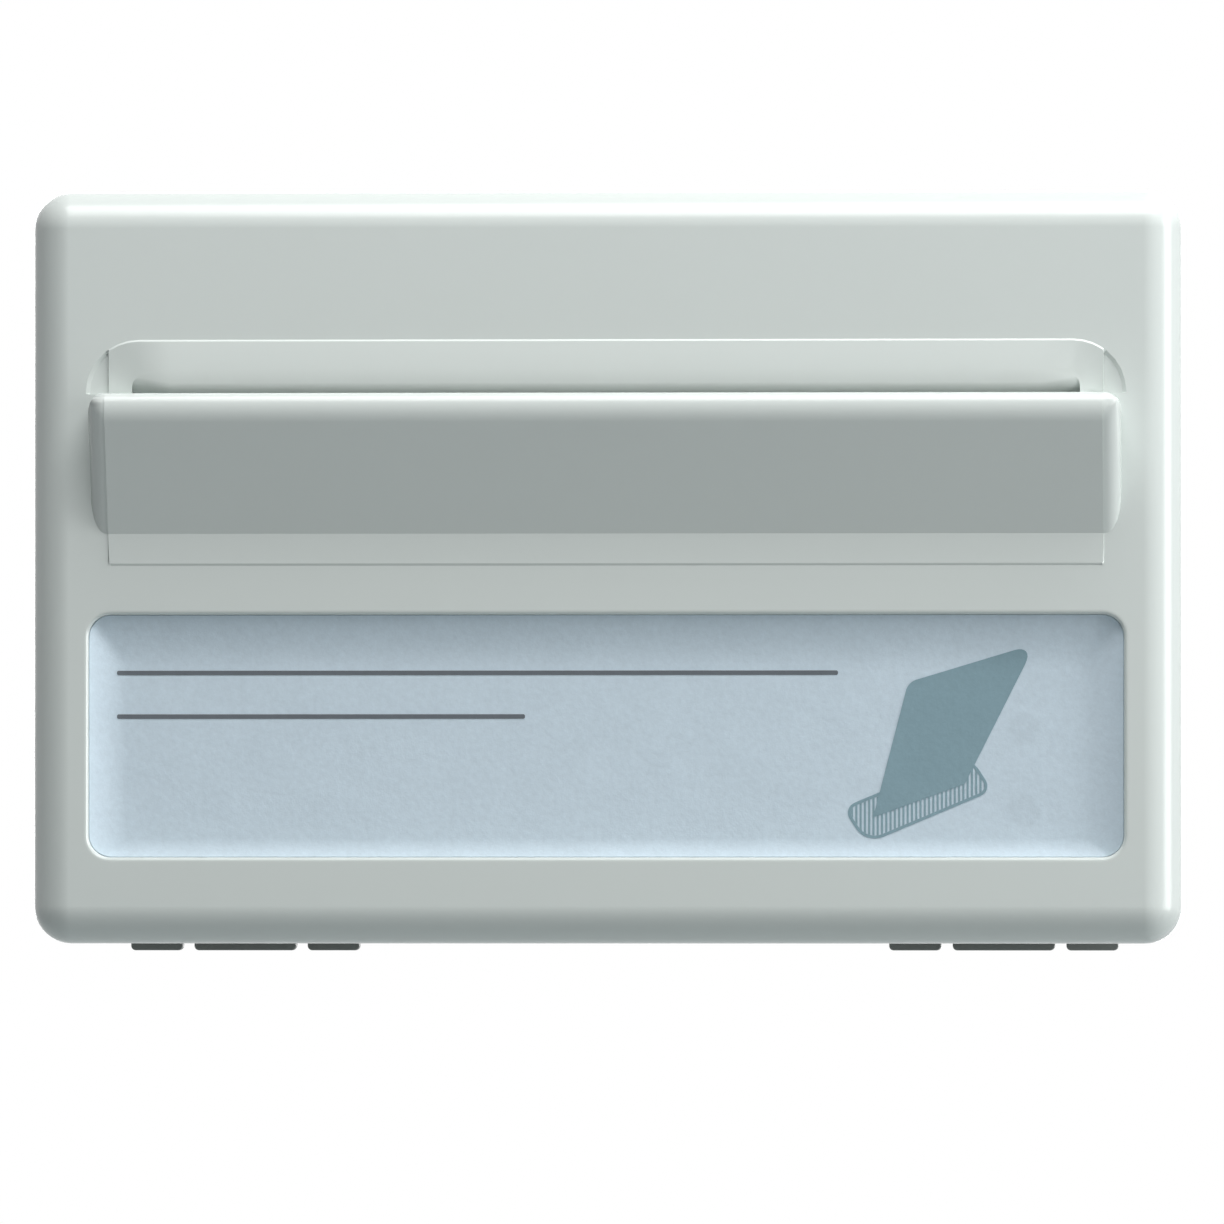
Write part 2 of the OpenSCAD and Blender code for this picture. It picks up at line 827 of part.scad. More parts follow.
module rear_base() {
    color("gainsboro")
        difference() {
            union() {
                base_shell();
                snap_bumps();
                terminal_ribs();
                for (x = clip_x)
                    translate([x, 0, 0]) {
                        clip_group(cover_h / 2 - lug_top_in);
                        mirror([0, 0, 1])
                            clip_group(cover_h / 2 + lug_reach);
                    }
                for (side = [-1, 1]) {
                    post_x = side * (hollow_x - post_w / 2 + eps);
                    span(
                        [side * base_x - (side < 0 ? stop_out : eps), 0, -stop_h / 2],
                        [side * base_x + (side > 0 ? stop_out : eps), stop_t, stop_h / 2]
                    );
                    span(
                        [post_x - post_w / 2, guide_back, guide_low],
                        [post_x + post_w / 2, rear_y_in + eps, guide_low + post_h]
                    );
                }
                span(
                    [case_x[0] - shelf_side, shelf_front, case_z[0] - shelf_t],
                    [case_x[1] + shelf_side, rear_y_in + eps, case_z[0]]
                );
                along_y(0, spring_y[1], spring_z)
                    cylinder(h = rear_y_in + eps - spring_y[1], r = spring_r + post_edge);
                along_y(0, spring_y[1] - pilot_l, spring_z)
                    cylinder(h = pilot_l + eps, r = pilot_r);
            }
            for (x = terminal_x) {
                along_y(x, rear_y_in - eps, wire_z)
                    cylinder(h = rear_t + 2 * eps, r1 = entry_r, r2 = funnel_r);
                translate([x, clamp_y, hollow_z - eps])
                    cylinder(h = base_wall + 2 * eps, r = access_r);
            }
            for (x = screw_x)
                translate([x, screw_y, case_z[0] - shelf_t - eps])
                    cylinder(h = shelf_t + 2 * eps, r = screw_r + screw_gap);
        }
}

// Side wall of the card guide, clamped between the cover and the base
module guide_side() {
    along_x(rail_t)
        polygon([
            [guide_back, guide_low],
            [guide_front, guide_low],
            [guide_front, label_z + label_h / 2 + backing_edge],
            [inner_y + wall_gap, label_z + label_h / 2 + backing_edge],
            [inner_y + wall_gap, guide_top],
            [rear_y(guide_top) + rail_back, guide_top],
            [guide_back, guide_low + post_h + rail_back]
        ]);
}

module hinge_ear() {
    along_x(ear_t)
        union() {
            translate([guide_t - sink, pivot_l[1] - ear_foot])
                square([pivot_l[0] - guide_t + sink, 2 * ear_foot]);
            translate(pivot_l)
                circle(r = ear_r);
        }
}

module lamp_saddle() {
    half = lamp_r + saddle_edge;
    span([-half, guide_t - sink, -saddle_t / 2], [half, lamp_y + saddle_out, saddle_t / 2]);
}

module card_guide() {
    color("silver")
        difference() {
            union() {
                for (side = [-1, 1]) {
                    translate([side * (channel_x + rail_t / 2), 0, 0])
                        guide_side();
                    in_channel()
                        translate([side * (ear_x + ear_t / 2), 0, 0])
                            hinge_ear();
                    in_channel()
                        translate([side * (channel_x - flange_w / 2), 0, 0])
                            span(
                                [-flange_w / 2 - eps, -channel_t - flange_t, -card_depth - eps],
                                [flange_w / 2 + eps, -channel_t, flange_top]
                            );
                }
                in_channel() {
                    span(
                        [-channel_x - eps, 0, -card_depth - guide_t],
                        [channel_x + eps, guide_t, tongue_top]
                    );
                    span([-tongue_x, 0, tongue_top - eps], [tongue_x, guide_t, plate_top]);
                    span(
                        [-channel_x - eps, -channel_t - flange_t, -card_depth - guide_t],
                        [channel_x + eps, guide_t, -card_depth]
                    );
                    for (z = saddle_z)
                        translate([light_x, 0, z])
                            lamp_saddle();
                }
            }
            in_channel() {
                span([-ear_x, -eps, window_z[0]], [ear_x, guide_t + eps, window_z[1]]);
                translate([-ear_x - ear_t - eps, pivot_l[0], pivot_l[1]])
                    rotate([0, 90, 0])
                        cylinder(h = 2 * (ear_x + ear_t + eps), r = pin_r);
                translate([light_x, lamp_y, lamp_low - 1])
                    cylinder(h = lamp_l + 2, r = lamp_r + saddle_gap);
            }
            light_holes(guide_back, guide_front - 1, light_r + light_clear);
        }
}

module card_lever() {
    color("dimgray")
        difference() {
            union() {
                in_channel() {
                    along_x(lever_w)
                        union() {
                            translate(pivot_l)
                                circle(r = hub_r);
                            translate([arm_y, arm_end])
                                square([arm_t, pivot_l[1] - arm_end]);
                        }
                    along_x(nose_w)
                        polygon([
                            [arm_y + eps, nose_z[0]], [nose_y, nose_z[1]],
                            [nose_y, nose_z[2]], [arm_y + eps, nose_z[3]]
                        ]);
                }
                span([-pad_h, pad_y - pad_t, press_z - pad_h / 2], [pad_h, pad_y, press_z + pad_h / 2]);
                along_x(2 * (spring_r + bracket_edge))
                    polygon([
                        [spring_seat, spring_z - spring_r - seat_edge],
                        [spring_seat, spring_z + spring_r + seat_edge],
                        seat(arm_y + arm_t / 2, bracket_top),
                        seat(arm_y + arm_t / 2, arm_end)
                    ]);
                along_y(0, spring_seat - eps, spring_z)
                    cylinder(h = pilot_l + eps, r = pilot_r);
            }
            in_channel()
                translate([-lever_w, pivot_l[0], pivot_l[1]])
                    rotate([0, 90, 0])
                        cylinder(h = 2 * lever_w, r = pin_r + pin_gap);
        }
}

module lever_pin() {
    color("lightgray")
        translate([-ear_x - ear_t, pivot[0], pivot[1]])
            rotate([0, 90, 0])
                cylinder(h = 2 * (ear_x + ear_t), r = pin_r);
}

// Return spring: one helix with closed end curls
spring_rings = 8 * spring_turns;
spring_mid_r = spring_r - spring_wire / 2;
spring_run = spring_y[1] - spring_y[0] - spring_wire;
spring_path = [
    for (i = [0:spring_rings]) [
        spring_mid_r * cos(45 * i),
        spring_y[0] + spring_wire / 2 + spring_run * i / spring_rings,
        spring_z + spring_mid_r * sin(45 * i)
    ]
];
spring_free = min([for (i = [0:spring_rings - 8]) norm(spring_path[i + 8] - spring_path[i])]) - spring_wire;
echo(lever_spring_gap_to_itself = spring_free);

module lever_spring() {
    color("silver")
        tube(spring_path, spring_wire / 2, 6, [0, 1, 0]);
}

module case_screw_ways() {
    for (x = screw_x)
        translate([x, screw_y, case_z[0] - eps])
            cylinder(h = switch_t + 2 * eps, r = screw_r + screw_gap);
}

// Ways of the three terminals through the rear wall of the switch
module tab_ways() {
    for (x = tab_x)
        span(
            [x - tab_gap, case_y[1] - case_wall - 1, press_z - tab_w / 2 - tab_gap],
            [x + strip_t + tab_gap, case_y[1] + eps, press_z + tab_w / 2 + tab_gap]
        );
}

module switch_case() {
    color("#26282b")
        difference() {
            union() {
                difference() {
                    span(
                        [case_x[0], case_y[0], case_z[0]],
                        [case_x[1], case_y[1], case_z[1] - lid_t]
                    );
                    span(
                        [case_x[0] + case_wall, case_y[0] + case_wall, case_z[0] + case_floor],
                        [case_x[1] - case_wall, case_y[1] - case_wall, case_z[1]]
                    );
                }
                for (x = screw_x)
                    span(
                        [x - boss_r, screw_y - boss_r, case_z[0]],
                        [x + boss_r, case_y[1], case_z[1] - lid_t]
                    );
            }
            case_screw_ways();
            tab_ways();
            along_y(0, case_y[0] - eps, press_z)
                cylinder(h = case_wall + 2 * eps, r = plunger_r + plunger_gap);
        }
}

module switch_lid() {
    color("#2f3236")
        difference() {
            span([case_x[0], case_y[0], case_z[1] - lid_t], [case_x[1], case_y[1], case_z[1]]);
            case_screw_ways();
        }
}

module switch_plunger() {
    collar_y = case_y[0] + case_wall + collar_gap;
    stem_y = collar_y + collar_t;
    color("firebrick") {
        along_y(0, tip_y, press_z)
            cylinder(h = collar_y - tip_y + eps, r = plunger_r);
        along_y(0, collar_y, press_z)
            cylinder(h = collar_t, r = collar_r);
        along_y(0, stem_y - eps, press_z)
            cylinder(h = blade_y - contact_gap - stem_y + eps, r = stem_r);
    }
}

// Contact blade with a rolled bead on its turning edge
module switch_blade() {
    color("goldenrod")
        difference() {
            union() {
                span(
                    [blade_pivot_x - blade_tail, blade_y, press_z - blade_w / 2],
                    [blade_tip_x, blade_y + blade_t, press_z + blade_w / 2]
                );
                translate([blade_pivot_x, blade_y + blade_t / 2, press_z])
                    cylinder(h = blade_w, r = bead_r, center = true);
            }
            along_y(contact_x, blade_y - blade_t, press_z)
                cylinder(h = 3 * blade_t, r = rivet_r / 2 + rivet_gap);
        }
}

module moving_contact() {
    color("silver") {
        along_y(contact_x, blade_y - button_t, press_z)
            cylinder(h = button_t, r = rivet_r);
        along_y(contact_x, blade_y - eps, press_z)
            cylinder(h = blade_t + 2 * eps, r = rivet_r / 2);
        along_y(contact_x, blade_y + blade_t, press_z)
            cylinder(h = back_button_t, r = rivet_r);
    }
}

module fixed_contacts() {
    color("silver") {
        along_y(contact_x, closed_y - rivet_t, press_z)
            cylinder(h = rivet_t, r = rivet_r);
        along_y(contact_x, open_y, press_z)
            cylinder(h = rivet_t, r = rivet_r);
    }
}

// A contact strip through the switch: a leg at x that runs out at the rear, from the depth y
module tab_leg(x, y) {
    span([x, y, press_z - tab_w / 2], [x + strip_t, case_y[1] + tab_out, press_z + tab_w / 2]);
}

module common_terminal() {
    anvil_y = blade_y - anvil_gap - anvil_t;
    color("gold") {
        tab_leg(tab_x[0], anvil_y);
        span(
            [tab_x[0], anvil_y, press_z - tab_w / 2],
            [blade_pivot_x + blade_tail, anvil_y + anvil_t, press_z + tab_w / 2]
        );
    }
}

module open_terminal() {
    strip_y = open_y + rivet_t;
    color("gold") {
        tab_leg(tab_x[1], strip_y);
        span(
            [tab_x[1], strip_y, press_z - tab_w / 2],
            [contact_x + rivet_r, strip_y + strip_t, press_z + tab_w / 2]
        );
    }
}

module closed_terminal() {
    strip_y = closed_y - rivet_t - strip_t;
    color("gold") {
        tab_leg(tab_x[2], strip_y);
        span(
            [contact_x - rivet_r, strip_y, press_z - tab_w / 2],
            [tab_x[2] + strip_t, strip_y + strip_t, press_z + tab_w / 2]
        );
    }
}

module switch_screws() {
    color("lightgray")
        for (x = screw_x)
            translate([x, screw_y, case_z[1]])
                difference() {
                    union() {
                        cylinder(h = screw_head_t, r = screw_head_r);
                        translate([0, 0, screw_short - switch_t - shelf_t])
                            cylinder(h = switch_t + shelf_t, r = screw_r);
                    }
                    translate([-screw_head_r - eps, -screw_slot_w / 2, screw_head_t - screw_slot_d])
                        cube([2 * (screw_head_r + eps), screw_slot_w, screw_slot_d + eps]);
                }
}

module terminal_block(i) {
    x = terminal_x[i];
    color("goldenrod")
        difference() {
            span([x - block_w / 2, block_y, block_z], [x + block_w / 2, rear_y_in, block_z + block_h]);
            along_y(x, block_y - eps, wire_z)
                cylinder(h = block_d + 2 * eps, r = wire_r);
            translate([x, clamp_y, wire_z])
                cylinder(h = block_h, r = clamp_r + clamp_gap);
        }
}

module terminal_screws() {
    color("lightgray")
        for (x = terminal_x)
            translate([x, clamp_y, 0])
                difference() {
                    union() {
                        translate([0, 0, clamp_tip])
                            cylinder(h = head_z - clamp_tip + eps, r = clamp_r);
                        translate([0, 0, head_z])
                            cylinder(h = head_t, r = clamp_head_r);
                    }
                    translate([-clamp_head_r - eps, -head_slot_w / 2, head_z + head_t - head_slot_d])
                        cube([2 * (clamp_head_r + eps), head_slot_w, head_slot_d + eps]);
                }
}

// A brass bar from the foot of a terminal block to a blade of the switch, with a slot for the blade
module link_bar(i, k) {
    top_x = terminal_x[i];
    low_x = tab_x[k] + strip_t / 2;
    color("goldenrod")
        difference() {
            union() {
                span([top_x - bar_w / 2, bar_y, bar_knee], [top_x + bar_w / 2, bar_y + bar_t, block_z]);
                span(
                    [min(top_x, low_x) - bar_w / 2, bar_y, bar_knee],
                    [max(top_x, low_x) + bar_w / 2, bar_y + bar_t, bar_knee + bar_w]
                );
                span([low_x - bar_w / 2, bar_y, bar_low], [low_x + bar_w / 2, bar_y + bar_t, bar_knee + eps]);
            }
            span(
                [tab_x[k] - tab_gap, bar_y - eps, press_z - tab_w / 2 - tab_gap],
                [tab_x[k] + strip_t + tab_gap, bar_y + bar_t + eps, press_z + tab_w / 2 + tab_gap]
            );
        }
}

module lamp_glass() {
    color("#ffd9b0", 0.6)
        in_channel()
            translate([light_x, lamp_y, 0])
                difference() {
                    union() {
                        translate([0, 0, lamp_low + lamp_r])
                            cylinder(h = lamp_l - lamp_r, r = lamp_r);
                        translate([0, 0, lamp_low + lamp_r])
                            sphere(r = lamp_r);
                    }
                    translate([0, 0, lamp_low + lamp_r])
                        cylinder(h = lamp_l - lamp_r - seal_t, r = lamp_r - glass_t);
                    for (side = [-1, 1])
                        translate([side * lead_x, 0, lamp_top - seal_t - eps])
                            cylinder(h = seal_t + 2 * eps, r = lead_r + lead_gap);
                }
}

// Path of a lamp wire from inside the glass to a point behind
lead_low = seat(lamp_y, lamp_low + lamp_r + lead_in);
function lamp_path(side, end) = let (x = light_x + side * lead_x) [
    [x, lead_low[0], lead_low[1]],
    [x, lead_bend[0], lead_bend[1]],
    [x + (end[0] - x) / 3, (lead_bend[0] + end[1]) / 2, lead_bend[1] + (end[2] - lead_bend[1]) * 0.7],
    end
];

module lamp_wires() {
    color("silver") {
        tube(lamp_path(-1, [terminal_x[3], block_y - lead_r, block_z + lead_lift]), lead_r);
        tube(lamp_path(1, [resistor_x + joint_x, resistor_y - joint_y, resistor_z]), lead_r);
    }
}

module lamp_resistor() {
    color("tan")
        translate([resistor_x - resistor_l / 2, resistor_y, resistor_z])
            rotate([0, 90, 0])
                cylinder(h = resistor_l, r = resistor_r);
}

module resistor_leads() {
    left_x = resistor_x - resistor_l / 2;
    right_x = resistor_x + resistor_l / 2;
    color("silver") {
        tube([
            [left_x, resistor_y, resistor_z],
            [left_x - lead_step, resistor_y, resistor_z],
            [left_x - lead_run, resistor_y, resistor_z],
            [terminal_x[2] + bar_w / 2 - bar_land, bar_y - lead_r, bar_knee + bar_w / 2]
        ], lead_r);
        tube([
            [right_x, resistor_y, resistor_z],
            [right_x + lead_step, resistor_y, resistor_z],
            [resistor_x + joint_x, resistor_y - joint_y / 2, resistor_z],
            [resistor_x + joint_x, resistor_y - joint_y + 2.2 * lead_r, resistor_z]
        ], lead_r);
    }
}

front_cover();
label_card();
rear_base();
card_guide();
card_lever();
lever_pin();
lever_spring();
switch_case();
switch_lid();
switch_plunger();
switch_blade();
moving_contact();
fixed_contacts();
common_terminal();
open_terminal();
closed_terminal();
switch_screws();
terminal_block(0);  // terminal_block_1
terminal_block(1);  // terminal_block_2
terminal_block(2);  // terminal_block_3
terminal_block(3);  // terminal_block_4
terminal_screws();
link_bar(0, 0);  // common_bar
link_bar(1, 1);  // open_bar
link_bar(2, 2);  // closed_bar
lamp_glass();
lamp_wires();
lamp_resistor();
resistor_leads();
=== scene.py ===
import math

import bmesh
import bpy
from mathutils import Matrix, Vector


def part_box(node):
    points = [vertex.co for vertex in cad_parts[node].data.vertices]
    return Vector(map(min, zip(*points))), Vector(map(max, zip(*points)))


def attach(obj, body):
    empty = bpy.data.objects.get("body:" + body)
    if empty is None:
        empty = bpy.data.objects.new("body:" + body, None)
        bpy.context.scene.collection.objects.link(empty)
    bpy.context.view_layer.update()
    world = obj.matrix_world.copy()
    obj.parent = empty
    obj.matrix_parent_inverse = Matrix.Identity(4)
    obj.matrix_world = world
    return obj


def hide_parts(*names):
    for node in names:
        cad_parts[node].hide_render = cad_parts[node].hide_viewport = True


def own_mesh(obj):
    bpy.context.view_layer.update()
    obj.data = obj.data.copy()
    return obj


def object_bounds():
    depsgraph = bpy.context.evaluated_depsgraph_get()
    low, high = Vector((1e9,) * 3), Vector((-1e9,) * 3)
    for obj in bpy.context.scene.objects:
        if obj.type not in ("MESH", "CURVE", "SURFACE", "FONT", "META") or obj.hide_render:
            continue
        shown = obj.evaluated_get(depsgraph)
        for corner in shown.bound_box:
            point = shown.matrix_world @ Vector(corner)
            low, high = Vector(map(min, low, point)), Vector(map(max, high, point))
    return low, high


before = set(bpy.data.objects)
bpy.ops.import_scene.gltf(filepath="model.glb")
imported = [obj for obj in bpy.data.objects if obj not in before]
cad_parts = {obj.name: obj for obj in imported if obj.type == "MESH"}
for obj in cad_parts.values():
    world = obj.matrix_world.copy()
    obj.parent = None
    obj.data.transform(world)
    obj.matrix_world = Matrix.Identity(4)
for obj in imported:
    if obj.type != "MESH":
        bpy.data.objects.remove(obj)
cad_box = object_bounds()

# Front cover: a glossy white shell, moulded in one shot with the dished card slot, the sloping lip
# and the label window. It snaps over the base. The insert that forms the slot leaves a fine raised
# step in the skin.
MM = 0.001
TINY = 0.02 * MM
SLIVER = 0.1 * TINY
MERGE_DISTANCE = 0.012 * MM
FLAT_ANGLE = math.radians(0.3)
CREASE_ANGLE = math.radians(20)
SMEAR = 0.07
FACE_Y = -9 * MM
STEP_FRONT = -9.06 * MM
STEP_X = 29.1 * MM
STEP_FOOT = 0.064 * MM
STEP_SLOPE = 0.07 * MM
SCOOP_SLOPE = 0.025 * MM
FOOT_SLOPE = 0.14 * MM
LIP_FOOT = 1.934 * MM
LIP_TOP = 10.104 * MM
LIP_FRONT = -11.2 * MM
LIP_ROUNDING = 1.14 * MM
LIP_STRETCH = 0.55
LIP_SLOPE = 0.4444
RIM_X = 30.42 * MM
RIM_TOP = 13.284 * MM
RIM_CORNER = 3.12 * MM
RIM_SLOPE = 0.105 * MM
RIM_WIDTH = 0.12 * MM
RIM_RISE = 0.03 * MM
DISH_EDGE = 0.12 * MM
DISH_SINK = 0.12 * MM
HOOD_FRONT = -8.85 * MM
HOOD_REAR = -7.75 * MM
HOOD_X = 25.5 * MM
HOOD_END = 28.05 * MM
HOOD_TOP = 11.554 * MM
HOOD_SWELL = 0.49 * MM
NOSE_TOP = 11.204 * MM
NOSE_FOOT = 9.75 * MM
NOSE_DROP = 0.45 * MM
WINDOW_SOFTENING = 0.3 * MM
COVER_WHITE = (0.69, 0.74, 0.717, 1)


def node(tree, kind, settings=None, **sockets):
    """A shader node with its settings, and each named socket given a value or a link."""
    made = tree.nodes.new("ShaderNode" + kind)
    for name, value in (settings or {}).items():
        setattr(made, name, value)
    for name, value in sockets.items():
        socket = made.inputs[name.replace("_", " ")]
        if isinstance(value, bpy.types.NodeSocket):
            tree.links.new(value, socket)
        else:
            socket.default_value = value
    return made


def sums(tree, operation, *terms):
    """A math node's result on two or three terms, each a number or a link."""
    made = node(tree, "Math", {"operation": operation})
    for socket, term in zip(made.inputs, terms):
        if isinstance(term, bpy.types.NodeSocket):
            tree.links.new(term, socket)
        else:
            socket.default_value = term
    return made.outputs[0]


def shader_group(name, inputs, outputs):
    """An empty node group with its named sockets, and the sockets of its input and output nodes."""
    tree = bpy.data.node_groups.new(name, "ShaderNodeTree")
    for label, kind in inputs:
        tree.interface.new_socket(label, in_out="INPUT", socket_type="NodeSocket" + kind)
    for label, kind in outputs:
        tree.interface.new_socket(label, in_out="OUTPUT", socket_type="NodeSocket" + kind)
    given = tree.nodes.new("NodeGroupInput").outputs
    return tree, given, tree.nodes.new("NodeGroupOutput").inputs


def moulded_skin():
    """Skin of a moulding: a faint cloud of tint, a shine that varies and a fine orange peel."""
    inputs = (("Tint", "Color"), ("Cloud", "Float"), ("Shine", "Float"), ("Peel Size", "Float"))
    outputs = (("Tint", "Color"), ("Roughness", "Float"), ("Peel", "Float"))
    tree, given, result = shader_group("moulded_skin", inputs, outputs)
    place = node(tree, "TexCoord").outputs["Object"]
    cloud = node(tree, "TexNoise", Vector=place, Scale=70, Detail=3).outputs["Fac"]
    least = sums(tree, "SUBTRACT", 1, given["Cloud"])
    value = node(tree, "MapRange", Value=cloud, To_Min=least, To_Max=1)
    tint = node(tree, "HueSaturation", Value=value.outputs[0], Color=given["Tint"])
    smear = node(tree, "TexNoise", Vector=place, Scale=240, Detail=4).outputs["Fac"]
    rough = sums(tree, "MULTIPLY_ADD", smear, SMEAR, given["Shine"])
    peel = node(tree, "TexNoise", Vector=place, Scale=given["Peel Size"], Detail=2).outputs["Fac"]
    for socket, source in zip(result, (tint.outputs[0], rough, peel)):
        tree.links.new(source, socket)
    return tree


SKIN = moulded_skin()


def finish(name, group, given, bump_output, bump_depth, specular=0.5, metallic=0):
    """A material whose tint, roughness and bump come from a shared group with its own values."""
    material = bpy.data.materials.new(name)
    material.use_nodes = True
    tree = material.node_tree
    skin = node(tree, "Group", {"node_tree": group}, **given)
    bump = node(tree, "Bump", Height=skin.outputs[bump_output], Strength=1, Distance=bump_depth)
    surface = tree.nodes["Principled BSDF"].inputs
    tree.links.new(skin.outputs["Tint"], surface["Base Color"])
    tree.links.new(skin.outputs["Roughness"], surface["Roughness"])
    tree.links.new(bump.outputs[0], surface["Normal"])
    surface["Specular IOR Level"].default_value = specular
    surface["Metallic"].default_value = metallic
    return material


def moulded(name, tint, cloud, shine, peel_size, peel_depth, specular=0.5):
    """A moulded plastic, with the shared skin in its own tint, shine and peel."""
    given = {"Tint": tint, "Cloud": cloud, "Shine": shine, "Peel_Size": peel_size}
    return finish(name, SKIN, given, "Peel", peel_depth, specular)


def merged_copy(name):
    """A CAD node's own shape, with its loose triangles joined into flat faces."""
    shape = bmesh.new()
    shape.from_mesh(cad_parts[name].data)
    bmesh.ops.remove_doubles(shape, verts=shape.verts, dist=MERGE_DISTANCE)
    bmesh.ops.dissolve_limit(shape, angle_limit=FLAT_ANGLE, verts=shape.verts, edges=shape.edges)
    return shape


def creases(shape):
    """The edges where two faces meet at an angle that the eye sees."""
    return [edge for edge in shape.edges
            if edge.is_manifold and edge.calc_face_angle() > CREASE_ANGLE]


def soften(shape, edges, width, segments=3):
    """Rounds edges by a small width."""
    bmesh.ops.bevel(shape, geom=edges, offset=width, offset_type="OFFSET", segments=segments,
                    profile=0.5, affect="EDGES", clamp_overlap=False, material=-1)


def fit(name, shape, material, slot, body, *replaced, flats=True):
    """Makes a shape a finished piece on its body, in the place of the nodes that it stands for."""
    mesh = bpy.data.meshes.new(name)
    shape.to_mesh(mesh)
    shape.free()
    if "custom_normal" in mesh.attributes:
        mesh.attributes.remove(mesh.attributes["custom_normal"])
    mesh.shade_smooth()
    mesh.set_sharp_from_angle(angle=CREASE_ANGLE)
    mesh.materials.append(material)
    piece = bpy.data.objects.new(name, mesh)
    bpy.context.scene.collection.objects.link(piece)
    if flats:
        piece.modifiers.new("flat_stays_flat", "WEIGHTED_NORMAL").keep_sharp = True
    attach(piece, body)
    if replaced:
        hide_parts(*replaced)
    return piece


def near(value, target):
    """True where two lengths are the same to within two hundredths of a millimetre."""
    return abs(value - target) < TINY


def between(value, low, high):
    """How far a value has gone from one end of a range to the other, from 0 to 1."""
    return min(max((value - low) / (high - low), 0), 1)


def off_rim(place):
    """How far a point lies outside the rim's rounded outline, and the direction out of it."""
    corner_x = math.copysign(RIM_X - RIM_CORNER, place.x)
    corner = Vector((corner_x, place.y, RIM_TOP - RIM_CORNER))
    if abs(place.x) < abs(corner.x):
        return place.z - RIM_TOP, Vector((0, 0, 1))
    return (place - corner).length - RIM_CORNER, (place - corner).normalized()


def flush_faces(shape):
    """The faces that lie in the cover's front plane."""
    return [face for face in shape.faces
            if all(abs(vert.co.y - FACE_Y) < SLIVER for vert in face.verts)]


def cut_across(shape, faces, x):
    """Cuts faces in two along an upright line."""
    parts = {part for face in faces for part in (*face.verts, *face.edges, face)}
    bmesh.ops.bisect_plane(shape, geom=list(parts), plane_co=(x, 0, 0), plane_no=(1, 0, 0))


label_low, label_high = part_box("label_card")
cover_plastic = moulded("cover_plastic", COVER_WHITE, cloud=0.02, shine=0.2, peel_size=900,
                        peel_depth=0.004 * MM)
cover = merged_copy("front_cover")
cut_across(cover, flush_faces(cover), 0)
front = flush_faces(cover)
bridges = [edge for edge in cover.edges if all(face in front for face in edge.link_faces)
           and not all(near(vert.co.x, 0) for vert in edge.verts)]
bmesh.ops.dissolve_edges(cover, edges=bridges)
for side in (-1, 1):
    hood = [face for face in cover.faces if all(
        STEP_FRONT - TINY < vert.co.y < HOOD_REAR + TINY and NOSE_FOOT < vert.co.z < RIM_TOP
        for vert in face.verts)]
    cut_across(cover, hood, side * HOOD_X)
for vert in cover.verts:
    distance, outwards = off_rim(vert.co)
    raised = all(abs(corner.co.x) < STEP_X + TINY
                 for face in vert.link_faces for corner in face.verts)
    if near(vert.co.y, STEP_FRONT) and abs(distance) < 2 * TINY:
        vert.co -= RIM_SLOPE * outwards
    beside_lip = LIP_FOOT - TINY < vert.co.z < LIP_TOP + TINY
    if raised and near(abs(vert.co.x), STEP_X) and not beside_lip:
        slope = STEP_SLOPE if vert.co.z < LIP_TOP else SCOOP_SLOPE
        vert.co.x -= math.copysign(slope, vert.co.x)
    if near(vert.co.z, STEP_FOOT) and near(vert.co.y, STEP_FRONT):
        vert.co.z += FOOT_SLOPE
    if near(vert.co.y, STEP_FRONT) and -RIM_WIDTH - TINY < distance < 2 * TINY:
        vert.co.y -= RIM_RISE * between(abs(vert.co.x), STEP_X, RIM_X - RIM_CORNER)
    in_hood = HOOD_FRONT - TINY < vert.co.y < HOOD_REAR - TINY
    if in_hood and NOSE_FOOT < vert.co.z < HOOD_TOP + TINY:
        share = between(abs(vert.co.x), HOOD_END, HOOD_X)
        if vert.co.z < NOSE_TOP + TINY:
            vert.co.z -= share * min(NOSE_DROP, vert.co.z - NOSE_FOOT)
        vert.co.y -= share * HOOD_SWELL
    if vert.co.y < LIP_FRONT and vert.co.z > LIP_TOP - LIP_ROUNDING:
        drop = LIP_STRETCH * (LIP_TOP - vert.co.z)
        vert.co += Vector((0, LIP_SLOPE * drop, -drop))
dish_ends = [edge for edge in cover.edges if all(
    near(vert.co.y, FACE_Y) and near(off_rim(vert.co)[0], -RIM_WIDTH)
    and abs(vert.co.x) > STEP_X - TINY for vert in edge.verts)]
soften(cover, dish_ends, DISH_EDGE, segments=1)
for vert in cover.verts:
    inside = off_rim(vert.co)[0] + RIM_WIDTH + DISH_EDGE
    beside = (near(vert.co.y, FACE_Y) and near(inside, 0)
              and abs(vert.co.x) > STEP_X + TINY)
    below = (near(abs(vert.co.x), STEP_X) and FACE_Y - TINY < vert.co.y < HOOD_REAR
             and inside < TINY)
    if (beside or below) and vert.co.z > LIP_TOP - TINY:
        vert.co.y += DISH_SINK
window_edges = [edge for edge in creases(cover) if all(
    near(vert.co.y, FACE_Y) and label_low.z - MM < vert.co.z < label_high.z + MM
    for vert in edge.verts)]
soften(cover, window_edges, WINDOW_SOFTENING)
bmesh.ops.dissolve_degenerate(cover, dist=SLIVER, edges=cover.edges)
shell = fit("cover_shell", cover, cover_plastic, "cover_plastic", "housing", "front_cover")
for edge in shell.data.edges:
    corners = [shell.data.vertices[index].co for index in edge.vertices]
    if all(corner.y < LIP_FRONT and abs(corner.x) > STEP_X + TINY for corner in corners):
        edge.use_edge_sharp = False

